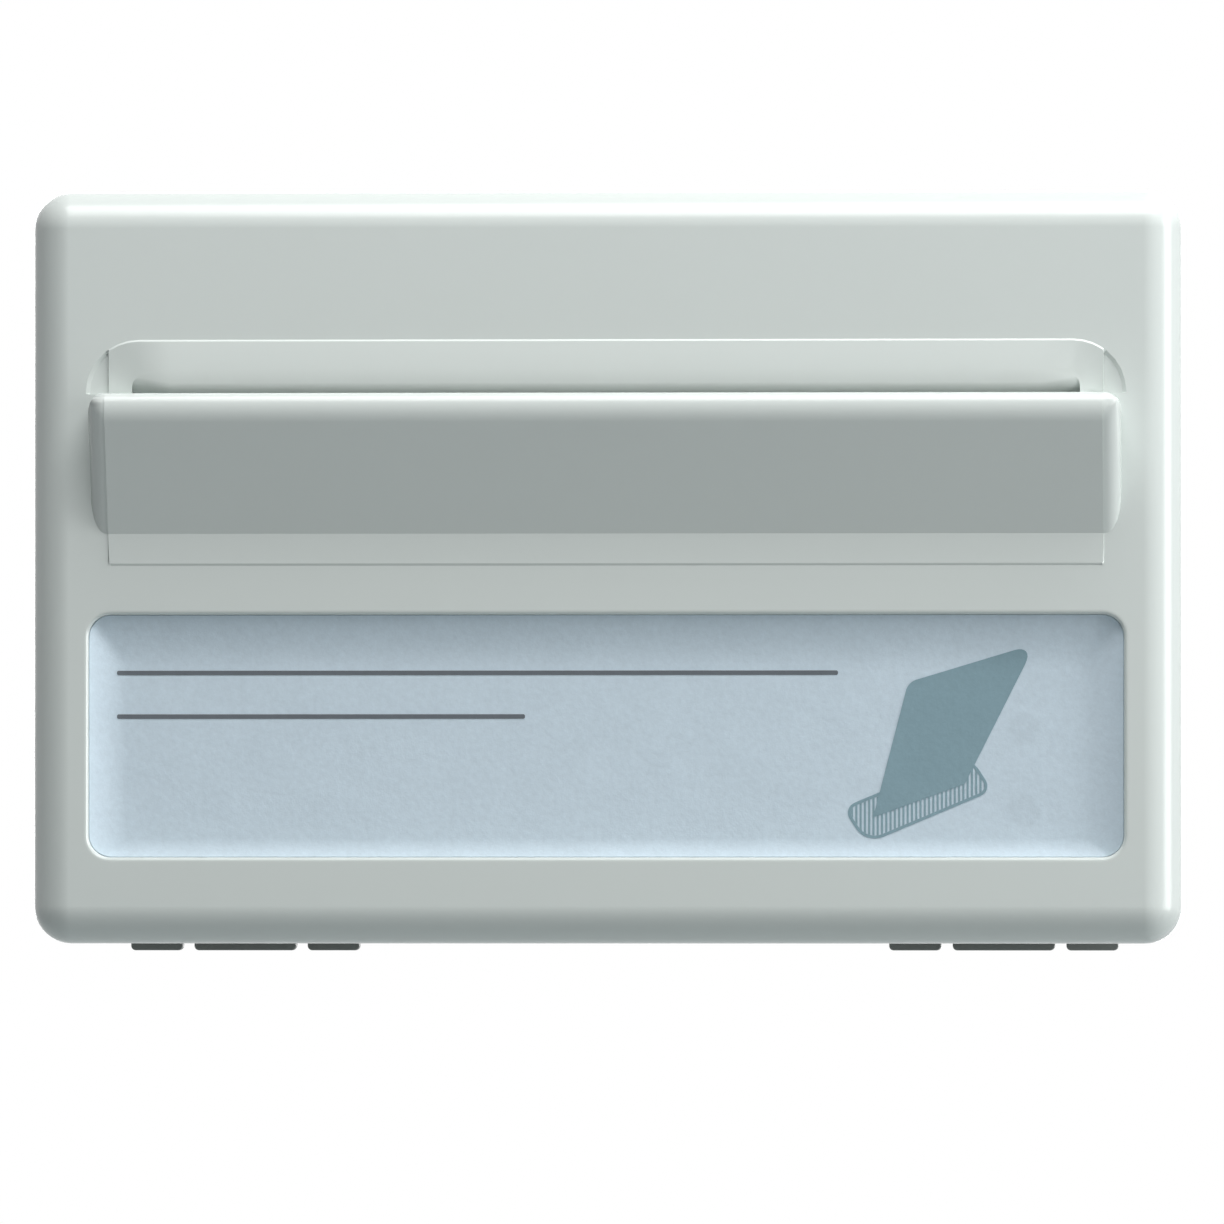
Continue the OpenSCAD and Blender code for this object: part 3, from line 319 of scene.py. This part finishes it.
# Label: a slip of uncoated blue-grey card cut to the window. It is pushed in by its edges, so they
# stand a little proud of the middle all round. Over the two light holes behind it, the card's
# colour is darkened in faint round spots of painted shade.
LABEL_TINT = (0.67, 0.785, 0.87, 1)
LABEL_CORNER = 1.25 * MM
LABEL_SQUEEZE = 0.17 * MM
LABEL_THICKNESS = 0.2 * MM
SIDE_CURL = (0.65 * MM, 2.2 * MM)
TOP_CURL = (0.7 * MM, 3.2 * MM)
FOOT_CURL = (0.25 * MM, 1.1 * MM)
CURL_STEPS = 10
ROUND_STEPS = 8
FIBRE_HEIGHT = 2.5
TOOTH_DEPTH = 0.016 * MM
LIGHT_HOLES = (Vector((24.4, -8, -9.48)) * MM, Vector((24.4, -8, -14.28)) * MM)
HOLE_SHADE_CORE = 0.7 * MM
HOLE_SHADE_EDGE = 1.15 * MM
HOLE_SHADE_LEAST = 0.95


def rounded_plate(shape, width, height, corner, centre):
    """Adds a flat upright plate with round corners that faces the front."""
    verts = bmesh.ops.create_grid(shape, x_segments=1, y_segments=1, size=0.5)["verts"]
    bmesh.ops.scale(shape, vec=(width, height, 1), verts=verts)
    bmesh.ops.rotate(shape, matrix=Matrix.Rotation(math.radians(90), 3, "X"), verts=verts)
    bmesh.ops.translate(shape, vec=centre, verts=verts)
    bmesh.ops.bevel(shape, geom=verts, offset=corner, segments=ROUND_STEPS, profile=0.5,
                    affect="VERTICES", material=-1)


def lift(shape):
    """Cuts a sheet into strips along the label's edges and lifts it there by the label's curl."""
    half = label_size / 2
    for step in range(CURL_STEPS + 1):
        share = step / CURL_STEPS
        side, top, foot = (share * curl[1] for curl in (SIDE_CURL, TOP_CURL, FOOT_CURL))
        cuts = (((half.x - side, 0, 0), (1, 0, 0)), ((side - half.x, 0, 0), (1, 0, 0)),
                ((0, 0, half.z - top), (0, 0, 1)), ((0, 0, foot - half.z), (0, 0, 1)))
        for place, across in cuts:
            bmesh.ops.bisect_plane(shape, geom=shape.verts[:] + shape.edges[:] + shape.faces[:],
                                   plane_co=label_middle + Vector(place), plane_no=across)
    bmesh.ops.dissolve_degenerate(shape, dist=MERGE_DISTANCE, edges=shape.edges)
    for vert in shape.verts:
        away = vert.co - label_middle
        runs = ((half.x - abs(away.x), SIDE_CURL), (half.z - away.z, TOP_CURL),
                (half.z + away.z, FOOT_CURL))
        vert.co.y -= max(rise * (1 - between(inside, 0, reach)) ** 2
                         for inside, (rise, reach) in runs)


def thicken(shape, thickness):
    """Gives a sheet its thickness behind its face."""
    shape.normal_update()
    bmesh.ops.solidify(shape, geom=shape.faces[:], thickness=thickness)


def paper(name, tint):
    """Uncoated card: a fine tooth, a loose cloud of fibre and painted shade at the light holes."""
    material = bpy.data.materials.new(name)
    material.use_nodes = True
    tree = material.node_tree
    place = node(tree, "TexCoord").outputs["Object"]
    tooth = node(tree, "TexNoise", Vector=place, Scale=2600, Detail=4, Roughness=0.7).outputs["Fac"]
    fibre = node(tree, "TexNoise", Vector=place, Scale=420, Detail=5).outputs["Fac"]
    cloud = node(tree, "MapRange", Value=fibre, To_Min=0.95, To_Max=1.04).outputs[0]
    grain = node(tree, "MapRange", Value=tooth, To_Min=0.9, To_Max=1.1).outputs[0]
    value = sums(tree, "MULTIPLY", cloud, grain)
    # Painted shade: a soft round spot of darker colour over each light hole behind the card.
    for hole in LIGHT_HOLES:
        away = node(tree, "VectorMath", {"operation": "DISTANCE"})
        tree.links.new(place, away.inputs[0])
        away.inputs[1].default_value = hole
        hole_shade = node(tree, "MapRange", {"interpolation_type": "SMOOTHSTEP"},
                    Value=away.outputs["Value"], From_Min=HOLE_SHADE_CORE, From_Max=HOLE_SHADE_EDGE,
                    To_Min=HOLE_SHADE_LEAST, To_Max=1)
        value = sums(tree, "MULTIPLY", value, hole_shade.outputs[0])
    colour = node(tree, "HueSaturation", Value=value, Color=tint)
    height = sums(tree, "MULTIPLY_ADD", fibre, FIBRE_HEIGHT, tooth)
    bump = node(tree, "Bump", Height=height, Strength=1, Distance=TOOTH_DEPTH)
    rough = node(tree, "MapRange", Value=tooth, To_Min=0.72, To_Max=0.9)
    surface = tree.nodes["Principled BSDF"].inputs
    tree.links.new(colour.outputs[0], surface["Base Color"])
    tree.links.new(rough.outputs[0], surface["Roughness"])
    tree.links.new(bump.outputs[0], surface["Normal"])
    surface["Specular IOR Level"].default_value = 0.25
    return material


label_size = label_high - label_low + 2 * Vector((LABEL_SQUEEZE, 0, LABEL_SQUEEZE))
label_middle = (label_low + label_high) / 2
label_middle.y = label_low.y
label_paper = paper("label_paper", LABEL_TINT)
label = bmesh.new()
rounded_plate(label, label_size.x, label_size.z, LABEL_CORNER, label_middle)
lift(label)
thicken(label, LABEL_THICKNESS)
fit("label_slip", label, label_paper, "label_paper", "housing", "label_card", flats=False)

# Print: screen ink, which lies on the label as a thin film. A card that slants down into a hatched
# slot shows how it goes in, and two rules are left for a hand-written note. The outlines give x, z
# and the rounding of each corner in millimetres.
PICTOGRAM_TEAL = (0.27, 0.4, 0.455, 1)
RULE_GREY = (0.16, 0.18, 0.2, 1)
INK_FILM = 0.02 * MM
CARD_FILM = 1.5 * INK_FILM
CARD_OUTLINE = ((17.65, -6.74, 0.47), (15.58, -14.65, 0.05),
                (20.96, -12.67, 0.05), (25.07, -4.51, 1.29))
SLOT_OUTLINE = ((13.81, -14.07, 0.8), (15.2, -16.18, 1.05),
                (22.59, -13.08, 0.8), (21.2, -10.97, 1.05))
SLOT_LINE = 0.17 * MM
SLOT_START = SLOT_OUTLINE[0][0]
SLOT_RUN = SLOT_OUTLINE[2][0] - SLOT_START
HATCH_PITCH = 0.25
HATCH_GAP = 0.01 * MM
RULES = (((-28.65, -6.05, 0.1), (-28.65, -6.31, 0.1), (13.55, -6.31, 0.1), (13.55, -6.05, 0.1)),
         ((-28.65, -8.6, 0.1), (-28.65, -8.86, 0.1), (-4.75, -8.86, 0.1), (-4.75, -8.6, 0.1)))


def inked(shape, outline, film=INK_FILM):
    """Adds a flat shape with round corners to the print and gives its face."""
    verts = [shape.verts.new((x * MM, label_low.y - film, z * MM)) for x, z, rounding in outline]
    shape.faces.new(verts)
    for vert, (x, z, rounding) in zip(verts, outline):
        bmesh.ops.bevel(shape, geom=[vert], offset=rounding * MM, segments=ROUND_STEPS,
                        profile=0.5, affect="VERTICES", material=-1)
    return max(shape.faces, key=lambda face: face.calc_area())


def screen_print(name, shape, tint):
    """Makes flat shapes a thin film of ink on the paper's curl, with the paper's tooth in it."""
    lift(shape)
    thicken(shape, INK_FILM)
    fit(name, shape, paper(name, tint), "label_paper", "housing", flats=False)


pictogram = bmesh.new()
for hatched in (True, False):
    slot_mark = inked(pictogram, SLOT_OUTLINE)
    line = SLOT_LINE + HATCH_GAP if hatched else SLOT_LINE
    edging = bmesh.ops.inset_region(pictogram, faces=[slot_mark], thickness=line,
                                    use_even_offset=True, use_boundary=True)["faces"]
    bmesh.ops.delete(pictogram, geom=edging if hatched else [slot_mark], context="FACES")
    if hatched:
        for step in range(round(SLOT_RUN / HATCH_PITCH * 2)):
            cut_across(pictogram, pictogram.faces[:], (SLOT_START + step * HATCH_PITCH / 2) * MM)
        gaps = [face for face in pictogram.faces if HATCH_PITCH / 2
                < (face.calc_center_median().x / MM - SLOT_START) % HATCH_PITCH]
        bmesh.ops.delete(pictogram, geom=gaps, context="FACES")
inked(pictogram, CARD_OUTLINE, CARD_FILM)
screen_print("label_pictogram", pictogram, PICTOGRAM_TEAL)
rules = bmesh.new()
for rule in RULES:
    inked(rules, rule)
screen_print("label_rules", rules, RULE_GREY)

# Card guide: the satin grey channel that leads the card down to its stop, moulded with the hinge
# ears of the lever and the lamp's saddles. It is clamped between the cover and the base.
GUIDE_GREY = (0.66, 0.67, 0.65, 1)
GUIDE_SOFTENING = 0.06 * MM


def dress(name, replaced, width, material, slot, body="housing", segments=2):
    """Makes a CAD node's own shape, with its edges rounded, a piece in that node's place."""
    shape = merged_copy(replaced)
    soften(shape, creases(shape), width, segments)
    fit(name, shape, material, slot, body, replaced)


guide_plastic = moulded("guide_plastic", GUIDE_GREY, cloud=0.05, shine=0.36, peel_size=1600,
                        peel_depth=0.008 * MM)
dress("guide_channel", "card_guide", GUIDE_SOFTENING, guide_plastic, "guide_plastic")

# Card lever: a slippery dark grey moulding that the card pushes back by its nose. It turns on a
# ground steel pin in the guide's ears and carries the pad that presses the switch and the spring's
# seat, whose spigot tapers so that the leaning spring clears it.
LEVER_GREY = (0.17, 0.18, 0.19, 1)
LEVER_SOFTENING = 0.08 * MM
SPIGOT_TIP = 3.79 * MM
SPIGOT_TAPER = 0.65
STEEL_TINT = (0.62, 0.63, 0.64, 1)
PIN_CHAMFER = 0.15 * MM
DRAWN_ALONG = (1, 0.12, 0.12)
TARNISH_WEAR = 0.12
MARK_WEAR = 0.1


def worked_metal_skin():
    """Skin of worked metal: drawing marks, a cloud of tarnish and a shine that follows both."""
    inputs = (("Tint", "Color"), ("Tarnish", "Float"), ("Shine", "Float"))
    outputs = (("Tint", "Color"), ("Roughness", "Float"), ("Marks", "Float"))
    tree, given, result = shader_group("worked_metal_skin", inputs, outputs)
    place = node(tree, "TexCoord").outputs["Object"]
    drawn = node(tree, "Mapping", Vector=place, Scale=DRAWN_ALONG).outputs[0]
    marks = node(tree, "TexNoise", Vector=drawn, Scale=4200, Detail=3).outputs["Fac"]
    cloud = node(tree, "TexNoise", Vector=place, Scale=320, Detail=5, Roughness=0.6).outputs["Fac"]
    least = sums(tree, "SUBTRACT", 1, given["Tarnish"])
    value = node(tree, "MapRange", Value=cloud, To_Min=least, To_Max=1)
    tint = node(tree, "HueSaturation", Value=value.outputs[0], Color=given["Tint"])
    worn = sums(tree, "MULTIPLY_ADD", cloud, TARNISH_WEAR, given["Shine"])
    rough = sums(tree, "MULTIPLY_ADD", marks, MARK_WEAR, worn)
    for socket, source in zip(result, (tint.outputs[0], rough, marks)):
        tree.links.new(source, socket)
    return tree


METAL_SKIN = worked_metal_skin()


def worked_metal(name, tint, tarnish, shine, mark_depth):
    """A metal with the shared skin in its own tint, tarnish and shine."""
    given = {"Tint": tint, "Tarnish": tarnish, "Shine": shine}
    return finish(name, METAL_SKIN, given, "Marks", mark_depth, metallic=1)


lever_plastic = moulded("lever_plastic", LEVER_GREY, cloud=0.08, shine=0.3, peel_size=1400,
                        peel_depth=0.006 * MM)
lever = merged_copy("card_lever")
spring_low, spring_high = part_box("lever_spring")
spring_axle = (spring_low + spring_high) / 2
spring_radius = (spring_high.x - spring_low.x) / 2
for vert in lever.verts:
    off_axle = Vector((vert.co.x, 0, vert.co.z - spring_axle.z))
    if near(vert.co.y, SPIGOT_TIP) and off_axle.length < spring_radius:
        vert.co -= (1 - SPIGOT_TAPER) * off_axle
soften(lever, creases(lever), LEVER_SOFTENING, segments=2)
fit("lever_arm", lever, lever_plastic, "lever_plastic", "lever", "card_lever")
bright_steel = worked_metal("bright_steel", STEEL_TINT, tarnish=0.12, shine=0.18,
                            mark_depth=0.002 * MM)
dress("hinge_pin", "lever_pin", PIN_CHAMFER, bright_steel, "bright_steel")

# Return spring: hard drawn steel wire, wound with a closed curl at each end. It stands between a
# post of the base and the lever's seat. As the lever swings back, it shortens and leans with the
# seat.
SPRING_WIRE = 0.45 * MM
WIRE_SIDES = 14
CURL_SIDES = 32
CLOSED_TURNS = 0.85
CLOSED_PITCH = 1.04 * SPRING_WIRE
OPEN_TURNS = 3.3
WELD_DISTANCE = 0.001 * MM


def wind(shape, ring, axle, turns, advance):
    """Winds a ring of wire round an axle and along it, and gives the ring at the far end."""
    steps = round(CURL_SIDES * turns)
    wound = bmesh.ops.spin(shape, geom=ring, cent=axle, axis=(0, -1, 0),
                           dvec=(0, advance / steps, 0), angle=math.tau * turns, steps=steps)
    return wound["geom_last"]


def weld(shape):
    """Joins the doubled points of a spun shape and turns its faces outwards."""
    bmesh.ops.remove_doubles(shape, verts=shape.verts, dist=WELD_DISTANCE)
    bmesh.ops.recalc_face_normals(shape, faces=shape.faces)


curl_radius = (spring_high.x - spring_low.x - SPRING_WIRE) / 2
closed_run = CLOSED_PITCH * CLOSED_TURNS
open_run = spring_high.y - spring_low.y - SPRING_WIRE - 2 * closed_run
spring = bmesh.new()
bmesh.ops.create_circle(spring, segments=WIRE_SIDES, radius=SPRING_WIRE / 2)
wire_start = Vector((curl_radius, spring_low.y + SPRING_WIRE / 2, spring_axle.z))
bmesh.ops.translate(spring, vec=wire_start, verts=spring.verts)
wire_end = spring.verts[:] + spring.edges[:]
for turns, advance in ((CLOSED_TURNS, closed_run), (OPEN_TURNS, open_run),
                       (CLOSED_TURNS, closed_run)):
    wire_end = wind(spring, wire_end, spring_axle, turns, advance)
bmesh.ops.holes_fill(spring, edges=spring.edges)
weld(spring)
return_spring = fit("return_spring", spring, bright_steel, "bright_steel", "housing",
                    "lever_spring", flats=False)
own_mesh(return_spring)

# Changeover switch: a black glass-filled case and lid on a shelf of the base, held by two zinc
# plated screws. Its red button bends a brass blade with a silver contact from one fixed contact to
# the other.
SWITCH_BLACK = (0.022, 0.022, 0.025, 1)
BUTTON_RED = (0.45, 0.06, 0.05, 1)
BRASS_TINT = (0.72, 0.53, 0.25, 1)
SILVER_TINT = (0.8, 0.79, 0.76, 1)
ZINC_TINT = (0.6, 0.62, 0.65, 1)
CASE_SOFTENING = 0.1 * MM
BUTTON_SOFTENING = 0.2 * MM
SCREW_SOFTENING = 0.12 * MM


def paint(material, *names):
    """Gives CAD nodes whose shape is right their material."""
    for name in names:
        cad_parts[name].material_slots[0].material = material


switch_plastic = moulded("switch_plastic", SWITCH_BLACK, cloud=0.1, shine=0.42, peel_size=2200,
                         peel_depth=0.012 * MM, specular=0.4)
dress("snap_case", "switch_case", CASE_SOFTENING, switch_plastic, "switch_plastic")
dress("snap_lid", "switch_lid", CASE_SOFTENING, switch_plastic, "switch_plastic")
plunger_plastic = moulded("plunger_plastic", BUTTON_RED, cloud=0.05, shine=0.22, peel_size=1200,
                          peel_depth=0.004 * MM)
dress("snap_button", "switch_plunger", BUTTON_SOFTENING, plunger_plastic, "plunger_plastic",
      body="plunger", segments=3)
terminal_brass = worked_metal("terminal_brass", BRASS_TINT, tarnish=0.18, shine=0.2,
                              mark_depth=0.003 * MM)
contact_silver = worked_metal("contact_silver", SILVER_TINT, tarnish=0.15, shine=0.16,
                              mark_depth=0.002 * MM)
zinc_steel = worked_metal("zinc_steel", ZINC_TINT, tarnish=0.2, shine=0.28, mark_depth=0.002 * MM)
paint(terminal_brass, "switch_blade", "common_terminal", "open_terminal", "closed_terminal")
paint(contact_silver, "moving_contact", "fixed_contacts")
dress("case_screws", "switch_screws", SCREW_SOFTENING, zinc_steel, "zinc_steel")

# Wire terminals: four sawn brass pillars with a wire bore and a zinc plated clamp screw each. Brass
# bars, stamped from strip, run from three of them to the switch.
PILLAR_SOFTENING = 0.15 * MM
BAR_SOFTENING = 0.08 * MM
for number in (1, 2, 3, 4):
    dress(f"wire_pillar_{number}", f"terminal_block_{number}", PILLAR_SOFTENING, terminal_brass,
          "terminal_brass")
dress("clamp_screws", "terminal_screws", SCREW_SOFTENING, zinc_steel, "zinc_steel")
for contact in ("common", "open", "closed"):
    dress(f"{contact}_strip", f"{contact}_bar", BAR_SOFTENING, terminal_brass, "terminal_brass")

# Lamp: a small clear glass neon lamp behind the label's light holes. Its two drawn wires run to a
# terminal and to a lacquered series resistor with colour bands. Along the resistor, places are
# shares of its length and the profile's second figure is a share of its radius.
GLASS_TINT = (1, 0.9, 0.8, 1)
GLASS_IOR = 1.47
WIRE_ROUNDING = 2
RESISTOR_TAN = (0.62, 0.48, 0.3, 1)
RESISTOR_BANDS = ((0.18, (0.16, 0.07, 0.03, 1)), (0.36, (0.02, 0.02, 0.02, 1)),
                  (0.54, (0.75, 0.5, 0.05, 1)), (0.78, (0.55, 0.4, 0.12, 1)))
BAND_WIDTH = 0.07
RESISTOR_PROFILE = ((0, 0), (0, 0.7), (0.05, 0.95), (0.1, 1), (0.2, 1), (0.28, 0.86),
                    (0.72, 0.86), (0.8, 1), (0.9, 1), (0.95, 0.95), (1, 0.7), (1, 0))
RESISTOR_SIDES = 32
clear_glass = bpy.data.materials.new("lamp_glass")
clear_glass.use_nodes = True
glass_tree = clear_glass.node_tree
glass_place = node(glass_tree, "TexCoord").outputs["Object"]
glass_cloud = node(glass_tree, "TexNoise", Vector=glass_place, Scale=500, Detail=2).outputs["Fac"]
glass_value = node(glass_tree, "MapRange", Value=glass_cloud, To_Min=0.94, To_Max=1)
glass_tint = node(glass_tree, "HueSaturation", Value=glass_value.outputs[0], Color=GLASS_TINT)
glass_rough = node(glass_tree, "MapRange", Value=glass_cloud, To_Min=0.01, To_Max=0.06)
glass_surface = glass_tree.nodes["Principled BSDF"].inputs
glass_tree.links.new(glass_tint.outputs[0], glass_surface["Base Color"])
glass_tree.links.new(glass_rough.outputs[0], glass_surface["Roughness"])
glass_surface["Transmission Weight"].default_value = 1
glass_surface["IOR"].default_value = GLASS_IOR
paint(clear_glass, "lamp_glass")
for wire_node, wire_name in (("lamp_wires", "lamp_leads"), ("resistor_leads", "resistor_wires")):
    leads = fit(wire_name, merged_copy(wire_node), bright_steel, "bright_steel", "housing",
                wire_node, flats=False)
    rounding = leads.modifiers.new("drawn_round", "SUBSURF")
    rounding.levels = rounding.render_levels = WIRE_ROUNDING
resistor_low, resistor_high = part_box("lamp_resistor")
resistor_axis = (resistor_low + resistor_high) / 2
resistor_length = resistor_high.x - resistor_low.x
resistor_radius = (resistor_high.z - resistor_low.z) / 2
resistor = bmesh.new()
outline = [resistor.verts.new((resistor_low.x + along * resistor_length, resistor_axis.y,
                               resistor_axis.z + out * resistor_radius))
           for along, out in RESISTOR_PROFILE]
profile = [resistor.edges.new(pair) for pair in zip(outline, outline[1:])]
bmesh.ops.spin(resistor, geom=outline + profile, cent=resistor_axis, axis=(1, 0, 0),
               angle=math.tau, steps=RESISTOR_SIDES, use_merge=True)
weld(resistor)
lacquer = moulded("resistor_body", RESISTOR_TAN, cloud=0.08, shine=0.2, peel_size=1800,
                  peel_depth=0.004 * MM)
bands = lacquer.node_tree
run = node(bands, "SeparateXYZ", Vector=node(bands, "TexCoord").outputs["Object"]).outputs["X"]
along = node(bands, "MapRange", Value=run, From_Min=resistor_low.x, From_Max=resistor_high.x)
stripes = node(bands, "ValToRGB", Fac=along.outputs[0])
ramp = stripes.color_ramp
ramp.interpolation = "CONSTANT"
ramp.elements[0].color = RESISTOR_TAN
ramp.elements[1].position, ramp.elements[1].color = RESISTOR_BANDS[0]
for start, tint in RESISTOR_BANDS[1:]:
    ramp.elements.new(start).color = tint
for start, tint in RESISTOR_BANDS:
    ramp.elements.new(start + BAND_WIDTH).color = RESISTOR_TAN
skin = next(made for made in bands.nodes if made.type == "GROUP")
bands.links.new(stripes.outputs[0], skin.inputs["Tint"])
fit("series_resistor", resistor, lacquer, "resistor_body", "housing", "lamp_resistor", flats=False)

# Rear base: the satin grey box that carries everything, moulded with its clip lugs, spring tongues,
# wire funnels and screw holes. The wall frame's edge snaps in between the cover's rim and the lugs.
BASE_GREY = (0.22, 0.235, 0.225, 1)
BASE_SOFTENING = 0.06 * MM
LUG_ROUNDING = 0.25 * MM
base_plastic = moulded("base_plastic", BASE_GREY, cloud=0.08, shine=0.4, peel_size=1500,
                       peel_depth=0.012 * MM, specular=0.4)
base = merged_copy("rear_base")
lug_corners = [edge for edge in creases(base)
               if all(near(vert.co.z, cad_box[0].z) for vert in edge.verts)
               and near(edge.verts[0].co.x, edge.verts[1].co.x)]
soften(base, lug_corners, LUG_ROUNDING)
soften(base, creases(base), BASE_SOFTENING, segments=2)
fit("base_box", base, base_plastic, "base_plastic", "housing", "rear_base")

# Studio: a pale floor well below the part, a soft box high above it, a second one far to the right
# and a third behind, for the rear views. The white behind the part is the room's own colour and
# throws no more light on it.
FLOOR_DROP = 60 * MM
FLOOR_RADIUS = 0.5
FLOOR_SIDES = 96
FLOOR_TINT = (0.395, 0.43, 0.44, 1)
GLOW_START = 0.1
GLOW_END = 0.95 * FLOOR_RADIUS
GLOW_LEAST = 0.72
ROOM_LIGHT = 0.09
WHITE = (1, 1, 1, 1)


def background_rays(tree):
    """1 for the rays that see the background: from the camera, in reflections, through glass."""
    path = node(tree, "LightPath").outputs
    seen = sums(tree, "MAXIMUM", path["Is Camera Ray"], path["Is Glossy Ray"])
    return sums(tree, "MAXIMUM", seen, path["Is Transmission Ray"])


room = bpy.data.worlds.new("white_room")
room.use_nodes = True
sky = room.node_tree
strength = node(sky, "MapRange", Value=background_rays(sky), To_Min=ROOM_LIGHT, To_Max=1)
sky.nodes["Background"].inputs["Color"].default_value = WHITE
sky.links.new(strength.outputs[0], sky.nodes["Background"].inputs["Strength"])
bpy.context.scene.world = room

floor_shape = bmesh.new()
bmesh.ops.create_circle(floor_shape, cap_ends=True, segments=FLOOR_SIDES, radius=FLOOR_RADIUS)
bmesh.ops.translate(floor_shape, vec=(0, 0, cad_box[0].z - FLOOR_DROP), verts=floor_shape.verts)
floor_mesh = bpy.data.meshes.new("floor")
floor_shape.to_mesh(floor_mesh)
floor_shape.free()
floor = bpy.data.objects.new("floor", floor_mesh)
bpy.context.scene.collection.objects.link(floor)
floor_paint = bpy.data.materials.new("floor_paint")
floor_paint.use_nodes = True
paint_tree = floor_paint.node_tree
paint_tree.nodes.remove(paint_tree.nodes["Principled BSDF"])
lit = node(paint_tree, "BsdfDiffuse", Color=FLOOR_TINT)
glow = node(paint_tree, "Emission", Color=WHITE, Strength=1)
spread = node(paint_tree, "VectorMath", {"operation": "LENGTH"})
paint_tree.links.new(node(paint_tree, "TexCoord").outputs["Object"], spread.inputs[0])
fade = node(paint_tree, "MapRange", {"interpolation_type": "SMOOTHSTEP"},
            Value=spread.outputs["Value"], From_Min=GLOW_START, From_Max=GLOW_END,
            To_Min=GLOW_LEAST, To_Max=1)
seen = sums(paint_tree, "MULTIPLY", fade.outputs[0], background_rays(paint_tree))
blend = node(paint_tree, "MixShader", Fac=seen)
paint_tree.links.new(lit.outputs[0], blend.inputs[1])
paint_tree.links.new(glow.outputs[0], blend.inputs[2])
paint_tree.links.new(blend.outputs[0], paint_tree.nodes["Material Output"].inputs["Surface"])
floor_mesh.materials.append(floor_paint)


def soft_box(name, place, width, height, watts):
    """A rectangular soft box at a place, turned to face the part."""
    lamp = bpy.data.lights.new(name, "AREA")
    lamp.shape = "RECTANGLE"
    lamp.size, lamp.size_y = width, height
    lamp.energy = watts
    box = bpy.data.objects.new(name, lamp)
    box.visible_camera = False
    box.location = place
    box.rotation_euler = (-Vector(place)).to_track_quat("-Z", "Y").to_euler()
    bpy.context.scene.collection.objects.link(box)


soft_box("top_box", (0.06, -0.13, 0.28), width=0.3, height=0.22, watts=1.27)
soft_box("right_box", (0.38, -0.08, 0.03), width=0.16, height=0.3, watts=1)
soft_box("back_box", (-0.05, 0.6, 0.12), width=0.5, height=0.4, watts=1.8)

# Camera: a long lens in front of the part, a little to its right and a little below it.
VIEW_YAW = math.radians(3)
VIEW_PITCH = math.radians(-0.8)
VIEW_DISTANCE = 1.05
VIEW_TARGET = Vector((-0.08, 0, -2.52)) * MM
LENS_LENGTH = 524.6
CLIP_START = 0.05
lens = bpy.data.cameras.new("camera")
lens.lens = LENS_LENGTH
lens.clip_start = CLIP_START
camera = bpy.data.objects.new("camera", lens)
reach = VIEW_DISTANCE * math.cos(VIEW_PITCH)
camera.location = VIEW_TARGET + Vector((reach * math.sin(VIEW_YAW), -reach * math.cos(VIEW_YAW),
                                        VIEW_DISTANCE * math.sin(VIEW_PITCH)))
camera.rotation_euler = (VIEW_TARGET - camera.location).to_track_quat("-Z", "Y").to_euler()
bpy.context.scene.collection.objects.link(camera)
bpy.context.scene.camera = camera
bpy.context.scene.view_settings.view_transform = "Standard"
